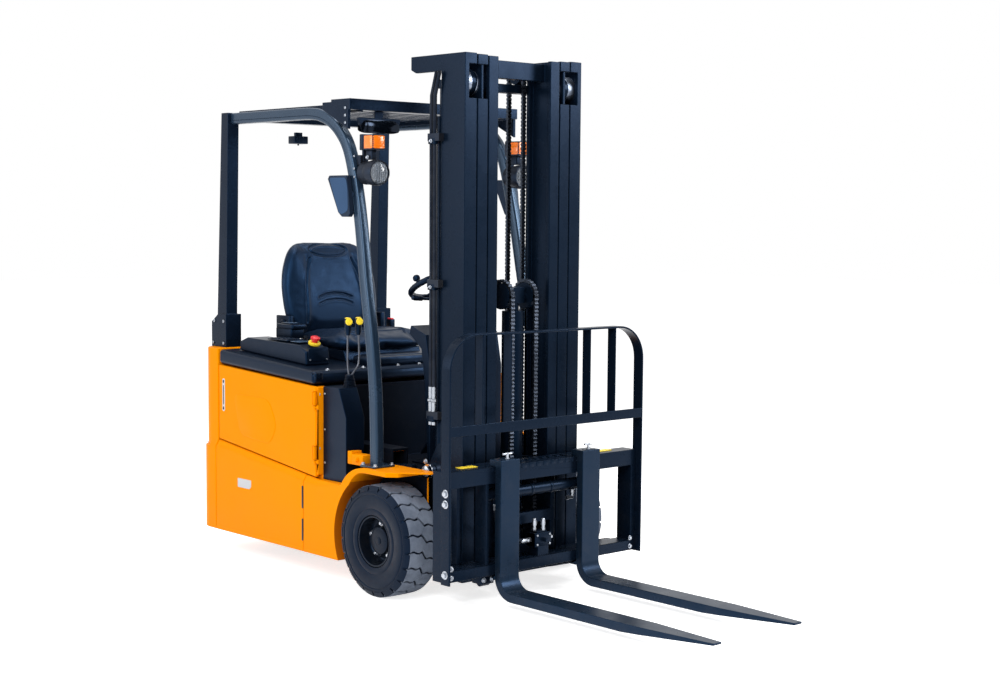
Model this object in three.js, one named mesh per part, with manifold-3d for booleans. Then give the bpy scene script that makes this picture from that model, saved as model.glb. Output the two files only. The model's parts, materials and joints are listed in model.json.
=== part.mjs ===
// Three-wheel electric counterbalance forklift with a triplex mast.
// Millimetres. +X points to the fork tips, +Y to the driver's left, +Z up.
// The pieces are placed with x = 0 at the front axle and z = 0 on the floor; the last group moves the
// origin to the middle of the truck's box, on the floor.
import * as THREE from 'three';
import { mergeVertices } from 'three/addons/utils/BufferGeometryUtils.js';
import Module from 'manifold-3d';

const wasm = await Module();
wasm.setup();

// ---------------------------------------------------------------- driving dimensions
const OVERALL_WIDTH = 1092;
const FORK_FACE_X = 466;
const FORK_LENGTH = 1070;
const MAST_HEIGHT = 2171;
const GUARD_HEIGHT = 2010;
const WHEELBASE = 1060;
const REAR_OVERHANG = 251; // from the steered axle to the rear face
const TYRE_PROUD = 6; // how far the front tyres stand out of the body
const WAIST_INSET = 14; // how far the doors lie in from the body's flanks
const UNDERSIDE_Z = 111;

const SEAT_GAP = 0.3; // between pieces that rest on each other
const MOVE_GAP = 5; // between pieces that pass each other
const PIN_GAP = 0.5; // around a pin in its bore
const EYE_GAP = 3; // around the pin of the tilt cylinder's rod eye

const FRONT_TYRE = { radius: 228, width: 170, rim: 104 };
const REAR_TYRE = { radius: 165, width: 110, rim: 72, spacing: 150 };
const HUB_RADIUS = 60;
const AXLE_RADIUS = 62;

const STEER_X = -WHEELBASE;
const BODY_Y = OVERALL_WIDTH / 2 - TYRE_PROUD;
const WAIST_Y = BODY_Y - WAIST_INSET;

const RAIL = {
  rearX: 142, frontX: 287, flange: 20, web: 12, bottomZ: 74,
  outer: { out: 318, in: 256 },
  middle: { out: 251, in: 198, web: 224 },
  inner: { out: 193, in: 143, web: 168 },
};
const ROLLER = { gap: 0.5, topZ: 2060, bottomZ: 165 };
const TILT_PIVOT = { x: 105, z: 235, radius: 20 };
const TILT_CYLINDER = { anchorX: -330, anchorZ: 470, eyeX: 98, eyeZ: 505, y: 330, barrel: 25, rod: 12 };
const LIFT_CYLINDER = { x: 108, y: 275, barrel: 28, bore: 20, rod: 16, topZ: 1930 };
const FREE_CYLINDER = { x: 225, barrel: 45, bore: 30, rod: 25, topZ: 1150 };
const MAIN_SHEAVE = { x: 105, y: 120, z: 2115, pitch: 45 };
const FREE_SHEAVE = { x: 230, y: 65, topZ: 1273, pitch: 62 };
const CHAIN = { width: 20, depth: 15 };

const CARRIAGE = { plateIn: 112, plateOut: 132, rearX: 175, backX: 310, frontX: 345, bottomZ: 131, topZ: 560 };
const SHIFTER = { backX: 352, halfWidth: 512, lowZ: 126, highZ: 490, barLow: 44, barHigh: 66 };
const FORK = { y: 225, width: 100, thickness: 35, bladeTop: 66, topZ: 583, tipWidth: 44, tipTaper: 330 };
const BACKREST = { halfWidth: 534, topZ: 1084, strap: 8, depth: 50, corner: 140, bottomZ: 121, railZ: 694 };

const WAIST = { rearX: STEER_X - 105, rearZ: 519, frontX: -487, frontZ: 439, bevel: 30 };
const DOOR = { rearTop: 864, frontX: -416, frontTop: 822, thickness: 21 };
const HOOD = { rearX: WAIST.rearX + MOVE_GAP, frontX: -430, rearTop: 928, frontTop: 880 };
const COUNTERWEIGHT_TOP = 932;
const COUNTERWEIGHT = { round: 90, blockWidth: 960, blockTop: 835, slotWidth: 90, slotDepth: 70, slotLow: 560, slotHigh: 640 };
const FLOOR_TOP = 485;
const FLOOR_FRONT_X = -70;
const FENDER_TOP = 515;
const ARCH = { radius: 268, lip: 19, endAngle: 130 };
const WING = { tipX: 199, tipWidth: 40, riseX: -225, crownX: -70, plate: 6 };
const PLATE = 12;
const SKIN = 28; // depth of the side skins with their folded edges
const STEER_DECK = { bottom: 352, top: 372, width: 660 };
const BAY = { frontX: -440, bottomZ: 130, rearTop: 700 };
const BATTERY = { width: 830, height: 560, rearX: STEER_X + 205, frontX: BAY.frontX - 15, bottomZ: 230 };
const TUNNEL = { rearX: -428, frontX: -97, in: 285, top: 577 };
const COWL = { frontX: -239, shoulderX: -290, shoulderZ: 700, top: 820, inset: 36, width: 95 };
const CONSOLE = { rearX: HOOD.rearX + 64, length: 514, in: 330, out: 455 };
const SEAT = { rearX: HOOD.rearX + 150, length: 420, half: 250, lowZ: 956, lean: 12, baseHalf: 215, baseInset: 30 };
const SEAT_BACK = { half: 262, height: 452, depth: 110, corner: 120, z: 973.7 };
const DASH = { half: 200, rearX: -200, frontX: -62 };
const PEDAL = { plateRear: -240, plateFront: -82, right: -150, left: 120 };
const STEERING_WHEEL = { x: -196, z: 1245, radius: 155, rim: 14, tilt: 66, columnLength: 240, hubHalf: 20 };

// ---------------------------------------------------------------- fits worked out from them
const BAR_FRONT_X = FORK_FACE_X - FORK.thickness - ROLLER.gap;
const FORK_TIP_X = FORK_FACE_X + FORK_LENGTH;
const REAR_FACE_X = STEER_X - REAR_OVERHANG;
const ORIGIN_X = (REAR_FACE_X + FORK_TIP_X) / 2;
const FRONT_WHEEL_Y = OVERALL_WIDTH / 2 - FRONT_TYRE.width / 2;
const FRAME_PLATE = { in: FRONT_WHEEL_Y - FRONT_TYRE.width / 2 - 15, out: FRONT_WHEEL_Y - FRONT_TYRE.width / 2 - 7 };
const AXLE_Z = FRONT_TYRE.radius;
const STEER_Z = REAR_TYRE.radius;
const SWEPT_RADIUS = Math.hypot(REAR_TYRE.radius, REAR_TYRE.spacing / 2 + REAR_TYRE.width / 2);
const WELL_RADIUS = SWEPT_RADIUS + 2 * MOVE_GAP;
const RAIL_CAVITY = { rear: RAIL.rearX + RAIL.flange, front: RAIL.frontX - RAIL.flange };
const ROLLER_X = (RAIL_CAVITY.rear + RAIL_CAVITY.front) / 2;
const ROLLER_RADIUS = (RAIL_CAVITY.front - RAIL_CAVITY.rear) / 2 - ROLLER.gap;
const FENDER_IN = FRAME_PLATE.out + SEAT_GAP;
const WAIST_SLOPE = (WAIST.frontZ - WAIST.rearZ) / (WAIST.frontX - WAIST.rearX);
const DOOR_SLOPE = (DOOR.frontTop - DOOR.rearTop) / (DOOR.frontX - WAIST.rearX);
const HOOD_SLOPE = (HOOD.frontTop - HOOD.rearTop) / (HOOD.frontX - HOOD.rearX);
const waistZ = (x) => WAIST.rearZ + WAIST_SLOPE * (x - WAIST.rearX);
const doorTopZ = (x) => DOOR.rearTop + DOOR_SLOPE * (x - WAIST.rearX);
const hoodTopZ = (x) => HOOD.rearTop + HOOD_SLOPE * (x - HOOD.rearX);
const STEP_X = -398;
const STEP_Z = waistZ(STEP_X);
const BAY_REAR_X = BATTERY.rearX - MOVE_GAP;
const BAY_HALF = WAIST_Y - DOOR.thickness - MOVE_GAP;
const DECK_REAR_X = STEER_X - WELL_RADIUS - 8;
const SIDES = [[-1, 'right'], [1, 'left']];

// ---------------------------------------------------------------- shape helpers
const V = (x, y, z) => new THREE.Vector3(x, y, z);

function box(x0, x1, y0, y1, z0, z1) {
  const geometry = new THREE.BoxGeometry(Math.abs(x1 - x0), Math.abs(y1 - y0), Math.abs(z1 - z0));
  return geometry.translate((x0 + x1) / 2, (y0 + y1) / 2, (z0 + z1) / 2);
}

function extrude(shape, depth) {
  return new THREE.ExtrudeGeometry(shape, { depth, bevelEnabled: false, steps: 1, curveSegments: 8 });
}

function shapeOf(points) {
  return points instanceof THREE.Shape ? points : outline(points);
}

function outline(points) {
  return new THREE.Shape(points.map(([a, b]) => new THREE.Vector2(a, b)));
}

// An outline in the XZ plane, pushed from y0 to y1.
function slabY(points, y0, y1) {
  const low = Math.min(y0, y1);
  const shape = shapeOf(points);
  return extrude(shape, Math.abs(y1 - y0)).rotateX(Math.PI / 2).translate(0, low + Math.abs(y1 - y0), 0);
}

// An outline in the YZ plane, pushed from x0 to x1.
function slabX(points, x0, x1) {
  const shape = shapeOf(points);
  const basis = new THREE.Matrix4().makeBasis(V(0, 1, 0), V(0, 0, 1), V(1, 0, 0));
  return extrude(shape, x1 - x0).applyMatrix4(basis).translate(x0, 0, 0);
}

// An outline in the XY plane, pushed from z0 to z1.
function slabZ(points, z0, z1) {
  const shape = shapeOf(points);
  return extrude(shape, z1 - z0).translate(0, 0, z0);
}

function roundedRect(a0, a1, b0, b1, r) {
  const shape = new THREE.Shape();
  shape.moveTo(a0 + r, b0);
  shape.lineTo(a1 - r, b0);
  shape.absarc(a1 - r, b0 + r, r, -Math.PI / 2, 0);
  shape.lineTo(a1, b1 - r);
  shape.absarc(a1 - r, b1 - r, r, 0, Math.PI / 2);
  shape.lineTo(a0 + r, b1);
  shape.absarc(a0 + r, b1 - r, r, Math.PI / 2, Math.PI);
  shape.lineTo(a0, b0 + r);
  shape.absarc(a0 + r, b0 + r, r, Math.PI, Math.PI * 1.5);
  return shape;
}

// A round bar between two points.
function rod(from, to, radius, sides = 16) {
  const along = to.clone().sub(from);
  const turn = new THREE.Quaternion().setFromUnitVectors(V(0, 1, 0), along.clone().normalize());
  const middle = from.clone().add(to).multiplyScalar(0.5);
  const geometry = new THREE.CylinderGeometry(radius, radius, along.length(), sides);
  return geometry.applyQuaternion(turn).translate(middle.x, middle.y, middle.z);
}

// A turned shape about a line along Y through (x, z); the profile holds [radius, y] pairs.
function turnedY(profile, x, z, segments) {
  const points = profile.map(([r, y]) => new THREE.Vector2(r, y));
  return new THREE.LatheGeometry(points, segments).translate(x, 0, z);
}

// A section of half-sizes a and b carried along a route.
function swept(route, a, b, steps, round = 0) {
  const section = round > 0 ? roundedRect(-a, a, -b, b, round) : outline([[-a, -b], [a, -b], [a, b], [-a, b]]);
  return new THREE.ExtrudeGeometry(section, { extrudePath: route, steps, bevelEnabled: false, curveSegments: 2 });
}

function tube(route, radius, steps, sides = 10) {
  const section = new THREE.Shape();
  section.absarc(0, 0, radius, 0, Math.PI * 2);
  const options = { extrudePath: route, steps, bevelEnabled: false, curveSegments: sides / 2 };
  return new THREE.ExtrudeGeometry(section, options);
}

// A straight-sided solid between two outlines with the same number of points.
function loft(first, last) {
  const count = first.length;
  const flat = [...first, ...last].flat();
  const index = [];
  for (let i = 0; i < count; i += 1) {
    const next = (i + 1) % count;
    index.push(i, next, count + next, i, count + next, count + i);
  }
  for (let i = 1; i < count - 1; i += 1) {
    index.push(0, i + 1, i, count, count + i, count + i + 1);
  }
  const geometry = new THREE.BufferGeometry();
  geometry.setAttribute('position', new THREE.Float32BufferAttribute(flat, 3));
  geometry.setIndex(index);
  return geometry;
}

function solid(shape) {
  if (!shape.isBufferGeometry) return shape;
  const bare = shape.clone();
  bare.deleteAttribute('normal');
  bare.deleteAttribute('uv');
  const merged = mergeVertices(bare, 1e-3);
  const vertProperties = Float32Array.from(merged.attributes.position.array);
  const triVerts = Uint32Array.from(merged.index.array);
  const made = new wasm.Manifold(new wasm.Mesh({ numProp: 3, vertProperties, triVerts }));
  if (made.volume() > 0) return made;
  const turned = triVerts.map((_, i) => triVerts[i - (i % 3) + 2 - (i % 3)]);
  return new wasm.Manifold(new wasm.Mesh({ numProp: 3, vertProperties, triVerts: turned }));
}

function join(...shapes) {
  return shapes.map(solid).reduce((whole, next) => whole.add(next));
}

function cut(shape, ...tools) {
  return tools.map(solid).reduce((whole, tool) => whole.subtract(tool), solid(shape));
}

function geometryOf(shape) {
  const mesh = solid(shape).getMesh();
  const geometry = new THREE.BufferGeometry();
  geometry.setAttribute('position', new THREE.Float32BufferAttribute(mesh.vertProperties, 3));
  geometry.setIndex([...mesh.triVerts]);
  return geometry;
}

// Turns a piece built on the left (+Y) into the one for its side.
function handed(side, shape) {
  const geometry = geometryOf(shape);
  if (side > 0) return geometry;
  geometry.scale(1, -1, 1);
  const index = [...geometry.index.array];
  geometry.setIndex(index.map((_, i) => index[i - (i % 3) + 2 - (i % 3)]));
  return geometry;
}

// ---------------------------------------------------------------- finishes
const finish = (color, roughness, metalness) => new THREE.MeshStandardMaterial({ color, roughness, metalness });
const YELLOW = finish(0xf5a000, 0.35, 0.1);
const BLACK_STEEL = finish(0x14181f, 0.4, 0.3);
const BLACK_PLASTIC = finish(0x16181c, 0.55, 0);
const VINYL = finish(0x101216, 0.5, 0);
const RUBBER = finish(0x26292d, 0.85, 0);
const STEEL = finish(0x9aa0a6, 0.3, 1);
const CHROME = finish(0xd0d4d8, 0.15, 1);
const CHAIN_STEEL = finish(0x2a2c30, 0.45, 0.8);
const CAST_IRON = finish(0x30343a, 0.6, 0.5);
const MIRROR = finish(0x30363e, 0.1, 0.8);
const LENS = finish(0xe07020, 0.2, 0);

const truck = new THREE.Group();
truck.position.set(-ORIGIN_X, 0, 0);

function piece(name, shape, material, at = null) {
  const mesh = new THREE.Mesh(shape.isBufferGeometry ? shape : geometryOf(shape), material);
  mesh.name = name;
  if (at) mesh.position.copy(at);
  truck.add(mesh);
  return mesh;
}

// ---------------------------------------------------------------- chassis
function chassisFrame() {
  const { frontX: bayFront, bottomZ: low, rearTop } = BAY;
  const top = DOOR.frontTop - MOVE_GAP;
  const post = { in: BAY_HALF - 30, out: BAY_HALF - 15, frontX: STEP_X - 1, lipX: STEP_X - 13, low: 142, lipLow: 448 };
  const { in: tunnelIn } = TUNNEL;
  const parts = [];
  for (const [side] of SIDES) {
    parts.push(box(bayFront, TILT_PIVOT.x + 25, side * FRAME_PLATE.in, side * FRAME_PLATE.out, low, FLOOR_TOP));
    parts.push(box(bayFront, post.frontX, side * post.in, side * BAY_HALF, post.low, top));
    parts.push(box(post.lipX, post.frontX, side * post.out, side * WAIST_Y, post.lipLow, top));
    parts.push(tiltTunnel(side));
    parts.push(tiltAnchor(side));
    parts.push(rod(
      V(TILT_PIVOT.x, side * (RAIL.outer.out + MOVE_GAP), TILT_PIVOT.z),
      V(TILT_PIVOT.x, side * FRAME_PLATE.out, TILT_PIVOT.z), TILT_PIVOT.radius, 20));
    parts.push(...doorPins(side));
  }
  const bellyFront = -120;
  const trayTop = BATTERY.bottomZ - SEAT_GAP;
  parts.push(box(BAY_REAR_X - PLATE, bellyFront, -FRAME_PLATE.out, FRAME_PLATE.out, low, low + PLATE));
  parts.push(box(bayFront, bayFront + PLATE, -BAY_HALF, BAY_HALF, low, top - 6));
  parts.push(box(BAY_REAR_X - PLATE, BAY_REAR_X, -BAY_HALF, BAY_HALF, low, rearTop));
  parts.push(box(bayFront, FLOOR_FRONT_X, -tunnelIn, tunnelIn, FLOOR_TOP - PLATE, FLOOR_TOP));
  parts.push(box(FLOOR_FRONT_X - 6, FLOOR_FRONT_X, -tunnelIn, tunnelIn, 330, FLOOR_TOP));
  parts.push(box(BAY_REAR_X - PLATE, bayFront, -BAY_HALF, BAY_HALF, trayTop - 10, trayTop));
  parts.push(box(DECK_REAR_X, BAY_REAR_X, -STEER_DECK.width / 2, STEER_DECK.width / 2, STEER_DECK.bottom, STEER_DECK.top));
  const reach = FRAME_PLATE.out + MOVE_GAP;
  const axleHole = rod(V(0, -reach, AXLE_Z), V(0, reach, AXLE_Z), AXLE_RADIUS + SEAT_GAP, 24);
  const well = rod(V(STEER_X, 0, 100), V(STEER_X, 0, STEER_DECK.bottom), WELL_RADIUS, 36);
  return cut(join(...parts), axleHole, well);
}

// A box over each tilt cylinder, open at the front where its rod comes out.
function tiltTunnel(side) {
  const { rearX, frontX, in: y0, top } = TUNNEL;
  const low = FLOOR_TOP - PLATE;
  return join(
    box(rearX, frontX, side * y0, side * (y0 + PLATE), low, top),
    box(rearX, frontX, side * y0, side * FRAME_PLATE.out, top - PLATE, top),
    box(rearX, frontX, side * FRAME_PLATE.in, side * FRAME_PLATE.out, low, top),
    box(rearX, rearX + PLATE, side * y0, side * FRAME_PLATE.out, low, top));
}

function tiltAnchor(side) {
  const { anchorX, anchorZ, y } = TILT_CYLINDER;
  return rod(V(anchorX, side * (y - 14), anchorZ), V(anchorX, side * FRAME_PLATE.out, anchorZ), 12, 20);
}

const DOOR_HINGE = { x: -413.5, y: WAIST_Y + 7, radius: 7, pin: 4.5, heights: [510, 740], length: 60 };

function doorPins(side) {
  const { x, y, radius, pin, heights, length } = DOOR_HINGE;
  return heights.map((z) => join(
    rod(V(x, side * y, z - 14), V(x, side * y, z + length), pin, 10),
    rod(V(x, side * y, z - 14), V(x, side * y, z - 1), radius, 14),
    box(x, x + 14, side * (WAIST_Y - 6), side * (WAIST_Y + 4), z - 14, z - 1)));
}

function counterweight() {
  const { round: rearRound, blockWidth, blockTop, slotWidth, slotDepth, slotLow, slotHigh } = COUNTERWEIGHT;
  const bulge = BODY_Y;
  const plan = (half, front) => {
    const shape = new THREE.Shape();
    shape.moveTo(front, -half);
    shape.lineTo(front, half);
    shape.lineTo(REAR_FACE_X + rearRound, half);
    shape.absarc(REAR_FACE_X + rearRound, half - rearRound, rearRound, Math.PI / 2, Math.PI);
    shape.absarc(REAR_FACE_X + rearRound, -half + rearRound, rearRound, Math.PI, Math.PI * 1.5);
    return shape;
  };
  const front = WAIST.rearX - SEAT_GAP;
  const upper = slabZ(plan(WAIST_Y, front), WAIST.rearZ - WAIST.bevel, COUNTERWEIGHT_TOP);
  const lower = slabZ(plan(bulge, front), UNDERSIDE_Z, WAIST.rearZ - WAIST.bevel);
  const bevel = slabX([[-bulge, WAIST.rearZ - WAIST.bevel], [bulge, WAIST.rearZ - WAIST.bevel],
    [WAIST_Y, WAIST.rearZ], [-WAIST_Y, WAIST.rearZ]], REAR_FACE_X + rearRound, front);
  const block = box(front - 5, BATTERY.rearX - 30, -blockWidth / 2, blockWidth / 2, STEER_DECK.top + SEAT_GAP, blockTop);
  const pocketHalf = STEER_DECK.width / 2 + SEAT_GAP;
  const deckPocket = box(DECK_REAR_X - SEAT_GAP, front + 5, -pocketHalf, pocketHalf,
    STEER_DECK.bottom - SEAT_GAP, STEER_DECK.top + SEAT_GAP);
  const well = rod(V(STEER_X, 0, 50), V(STEER_X, 0, STEER_DECK.top), WELL_RADIUS, 36);
  const towSlot = box(REAR_FACE_X - 5, REAR_FACE_X + slotDepth, -slotWidth / 2, slotWidth / 2, slotLow, slotHigh);
  const pinX = REAR_FACE_X + 32;
  const towPin = rod(V(pinX, 0, slotLow - 20), V(pinX, 0, slotHigh + 20), 12, 20);
  return join(cut(join(upper, lower, bevel, block), deckPocket, well, towSlot), towPin);
}

// The flank under the battery door: upright below, then leaning in to the waist line.
function sidePanel() {
  const rear = WAIST.rearX + 2;
  const front = WAIST.frontX - 1.5;
  const section = (x) => [
    [x, BODY_Y - SKIN, UNDERSIDE_Z], [x, BODY_Y, UNDERSIDE_Z], [x, BODY_Y, waistZ(x) - WAIST.bevel],
    [x, WAIST_Y - 4, waistZ(x)], [x, BODY_Y - SKIN, waistZ(x)],
  ];
  const skin = loft(section(rear), section(front));
  const bracketIn = BAY_HALF + SEAT_GAP;
  const brackets = [BAY_REAR_X + 10, BAY.frontX - 60].map((x) => box(x - 25, x, bracketIn, BODY_Y - 20, 200, 380));
  return join(skin, ...brackets);
}

// The step and wing over the front wheel.
function frontWing() {
  const rear = WAIST.frontX + 1.5;
  const shape = new THREE.Shape();
  const plateX = 110;
  const { tipX, tipWidth, riseX, crownX, plate } = WING;
  const archAngle = THREE.MathUtils.degToRad(ARCH.endAngle);
  const lowAngle = Math.PI + Math.asin((AXLE_Z - UNDERSIDE_Z) / ARCH.radius);
  shape.moveTo(rear, UNDERSIDE_Z);
  shape.lineTo(rear, waistZ(rear));
  shape.lineTo(STEP_X, STEP_Z);
  shape.lineTo(riseX, STEP_Z);
  shape.bezierCurveTo(riseX + 25, STEP_Z + 42, -150, FENDER_TOP, crownX, FENDER_TOP);
  shape.lineTo(plateX, FENDER_TOP);
  shape.lineTo(plateX, FENDER_TOP - ARCH.lip);
  shape.lineTo(crownX, FENDER_TOP - ARCH.lip);
  shape.quadraticCurveTo(-130, FENDER_TOP - ARCH.lip, ARCH.radius * Math.cos(archAngle),
    AXLE_Z + ARCH.radius * Math.sin(archAngle));
  shape.absarc(0, AXLE_Z, ARCH.radius, archAngle, lowAngle, false);
  shape.lineTo(rear, UNDERSIDE_Z);
  const block = slabY(shape, FENDER_IN, BODY_Y);
  // Everything outside the waist bevel at one station along the wing.
  const outside = (x, edgeY, edgeZ, bevelY, bevelZ) => [
    [x, BODY_Y + 10, 0], [x, BODY_Y + 10, 600], [x, edgeY, edgeZ], [x, bevelY, bevelZ], [x, bevelY, 0]];
  const rearCut = rear - 5;
  const stations = [
    outside(rearCut, WAIST_Y - 4, waistZ(rearCut), BODY_Y, waistZ(rearCut) - WAIST.bevel),
    outside(STEP_X, WAIST_Y - 4, STEP_Z, BODY_Y, STEP_Z - WAIST.bevel),
    outside(riseX - 15, BODY_Y - 2, STEP_Z, BODY_Y, STEP_Z - 4)];
  const flank = loft(stations[0], stations[1]);
  const flankFront = loft(stations[1], stations[2]);
  const nose = slabZ([[70, BODY_Y + 5], [tipX, FENDER_IN + tipWidth], [tipX, BODY_Y + 5]], 400, 600);
  const tongue = slabZ([[-60, FENDER_IN], [tipX, FENDER_IN], [tipX, FENDER_IN + tipWidth], [60, BODY_Y], [-60, BODY_Y]],
    FENDER_TOP - plate, FENDER_TOP);
  const skinIn = BODY_Y - SKIN;
  const bay = box(rearCut, STEP_X, FENDER_IN - 5, skinIn, UNDERSIDE_Z - 5, 600);
  const hollow = box(STEP_X - 5, -300, FENDER_IN - 5, skinIn, UNDERSIDE_Z - 5, STEP_Z - PLATE);
  return cut(join(block, tongue), flank, flankFront, nose, bay, hollow);
}

function driveAxle() {
  const hub = FRONT_WHEEL_Y - FRONT_TYRE.width / 2;
  const beam = rod(V(0, -hub, AXLE_Z), V(0, hub, AXLE_Z), AXLE_RADIUS, 24);
  const ends = SIDES.map(([side]) => rod(
    V(0, side * (hub - 1), AXLE_Z), V(0, side * (wheelFace() - SEAT_GAP), AXLE_Z), HUB_RADIUS, 20));
  const gearbox = rod(V(-60, 0, AXLE_Z - 15), V(-60, 0, AXLE_Z + 92), 82, 20);
  return join(beam, ...ends, gearbox);
}

const wheelFace = () => FRONT_WHEEL_Y - 15;

// Shape of a wheel on the left: the rim's barrel, its dished face and its hub cap.
function rimProfile() {
  const inner = FRONT_WHEEL_Y - FRONT_TYRE.width / 2 + 6;
  const outer = OVERALL_WIDTH / 2 - 6;
  const face = wheelFace();
  const r = FRONT_TYRE.rim - SEAT_GAP;
  return [
    [0, face], [r - 10, face], [r - 10, inner], [r, inner], [r, outer], [r - 8, outer],
    [r - 14, face + 22], [78, face + 14], [56, face + 14], [54, face + 44], [44, face + 50], [0, face + 50],
  ];
}

function frontRim() {
  return turnedY(rimProfile(), 0, AXLE_Z, 32);
}

function tyreProfile(rim, radius, centre, width) {
  const half = width / 2;
  return [
    [rim, centre - half + 8], [rim + 20, centre - half], [radius - 34, centre - half], [radius - 10, centre - half + 7],
    [radius, centre - half + 26], [radius, centre + half - 26], [radius - 10, centre + half - 7],
    [radius - 34, centre + half], [rim + 20, centre + half], [rim, centre + half - 8], [rim, centre - half + 8],
  ];
}

function frontTyre() {
  return turnedY(tyreProfile(FRONT_TYRE.rim, FRONT_TYRE.radius, FRONT_WHEEL_Y, FRONT_TYRE.width), 0, AXLE_Z, 48);
}

// ---------------------------------------------------------------- steered twin wheels
const LEG_THICKNESS = REAR_TYRE.spacing - REAR_TYRE.width - 2 * MOVE_GAP;
const SHAFT_RADIUS = 22;

function steerKnuckle() {
  const half = LEG_THICKNESS / 2;
  const table = rod(V(STEER_X, 0, STEER_DECK.bottom - SEAT_GAP - 10), V(STEER_X, 0, STEER_DECK.bottom - SEAT_GAP), 150, 40);
  const leg = slabY([[STEER_X - 45, STEER_Z - 20], [STEER_X + 45, STEER_Z - 20], [STEER_X + 70, 345],
    [STEER_X - 70, 345]], -half, half);
  const nose = rod(V(STEER_X, -half, STEER_Z), V(STEER_X, half, STEER_Z), 50, 32);
  const bore = rod(V(STEER_X, -half - 5, STEER_Z), V(STEER_X, half + 5, STEER_Z), SHAFT_RADIUS + PIN_GAP, 28);
  return cut(join(table, leg, nose), bore);
}

function rearWheelSet() {
  const inner = REAR_TYRE.spacing / 2 - REAR_TYRE.width / 2;
  const outer = REAR_TYRE.spacing / 2 + REAR_TYRE.width / 2;
  const r = REAR_TYRE.rim - SEAT_GAP;
  const shaft = rod(V(STEER_X, -inner - 10, STEER_Z), V(STEER_X, inner + 10, STEER_Z), SHAFT_RADIUS, 28);
  const profile = [[0, inner + 8], [r, inner + 8], [r, outer - 6], [r - 8, outer - 6], [r - 12, outer - 30],
    [40, outer - 34], [36, outer - 14], [0, outer - 12]];
  const left = turnedY(profile, STEER_X, STEER_Z, 24);
  return join(shaft, left, handed(-1, left));
}

function rearTyre() {
  const { rim, radius, spacing, width } = REAR_TYRE;
  const half = width / 2;
  const centre = spacing / 2;
  const profile = [[rim, centre - half + 5], [rim + 14, centre - half], [radius - 16, centre - half],
    [radius, centre - half + 14], [radius, centre + half - 14], [radius - 16, centre + half],
    [rim + 14, centre + half], [rim, centre + half - 5], [rim, centre - half + 5]];
  return turnedY(profile, STEER_X, STEER_Z, 36);
}

// ---------------------------------------------------------------- body above the waist
function batteryDoor() {
  const rear = WAIST.rearX + MOVE_GAP;
  const front = DOOR.frontX;
  const skin = slabY([[rear, waistZ(rear) + MOVE_GAP], [front, waistZ(front) + MOVE_GAP],
    [front, doorTopZ(front) - MOVE_GAP], [rear, doorTopZ(rear) - MOVE_GAP]], WAIST_Y - DOOR.thickness, WAIST_Y);
  const { x, y, radius, pin, heights, length } = DOOR_HINGE;
  const knuckles = heights.map((z) => join(
    rod(V(x, y, z), V(x, y, z + length), radius, 14), box(x - 16, x, y - 9, y - 3, z, z + length)));
  const bores = heights.map((z) => rod(V(x, y, z - 5), V(x, y, z + length + 5), pin + 0.5, 10));
  return cut(join(skin, ...knuckles), ...bores);
}

const HOOD_HINGE = { x: HOOD.rearX + 2, z: 942, y: 300, radius: 9, pin: 5, length: 60 };

function hood() {
  const { rearX, frontX } = HOOD;
  const half = WAIST_Y;
  const slab = slabY([[rearX, doorTopZ(rearX)], [frontX, doorTopZ(frontX)], [frontX, hoodTopZ(frontX) - 14],
    [frontX - 14, hoodTopZ(frontX)], [rearX, HOOD.rearTop]], -half, half);
  const { x, z, y, radius, pin, length } = HOOD_HINGE;
  const lugs = SIDES.map(([side]) => join(
    rod(V(x, side * y, z), V(x, side * (y + length), z), radius, 14),
    box(x, x + 24, side * y, side * (y + length), z - radius - 6, z - 2),
    box(x + 2, x + 24, side * y, side * (y + length), HOOD.rearTop - 8, z - 8)));
  const bores = SIDES.map(([side]) => rod(V(x, side * (y - 5), z), V(x, side * (y + length + 5), z), pin + 0.5, 10));
  return cut(join(slab, ...lugs), ...bores);
}

function hoodHingePins() {
  const { x, z, y, radius, pin, length } = HOOD_HINGE;
  return SIDES.map(([side]) => join(
    rod(V(x, side * (y - 18), z), V(x, side * (y + length), z), pin, 10),
    rod(V(x, side * (y - 18), z), V(x, side * (y - 1), z), radius, 14),
    box(x - 26, x, side * (y - 18), side * (y - 1), COUNTERWEIGHT_TOP - 4, z - 1)));
}

const SEAT_FRONT_X = SEAT.rearX + SEAT.length;

function seatBase() {
  const { rearX, baseInset, baseHalf, lowZ } = SEAT;
  const baseFront = SEAT_FRONT_X - baseInset;
  const low = (x) => hoodTopZ(x) + SEAT_GAP;
  return slabY([[rearX, low(rearX)], [baseFront, low(baseFront)], [baseFront - 20, cushionLow(baseFront - 20) - SEAT_GAP],
    [rearX, lowZ - SEAT_GAP]], -baseHalf, baseHalf);
}

// The underside of the seat cushion falls 15 mm from its rear to its front roll.
const cushionLow = (x) => SEAT.lowZ - (15 * (x - SEAT.rearX)) / (SEAT.length - 50);

function seatCushion() {
  const { rearX, half, lowZ } = SEAT;
  const frontX = SEAT_FRONT_X;
  const rollX = frontX - 50;
  const shape = new THREE.Shape();
  shape.moveTo(rearX, lowZ);
  shape.lineTo(rollX, cushionLow(rollX));
  shape.quadraticCurveTo(frontX, cushionLow(rollX), frontX, lowZ + 19);
  shape.quadraticCurveTo(frontX - 2, lowZ + 50, frontX - 60, lowZ + 48);
  shape.lineTo(rearX + 50, lowZ + 34);
  shape.lineTo(rearX, lowZ + 29);
  return slabY(shape, -half, half);
}

function seatBack() {
  const { half, height, depth, corner, z } = SEAT_BACK;
  const block = slabX(roundedRect(-half, half, 0, height, corner), 0, depth);
  return block.rotateY(THREE.MathUtils.degToRad(-SEAT.lean)).translate(SEAT.rearX - depth / 2, 0, z);
}

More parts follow.
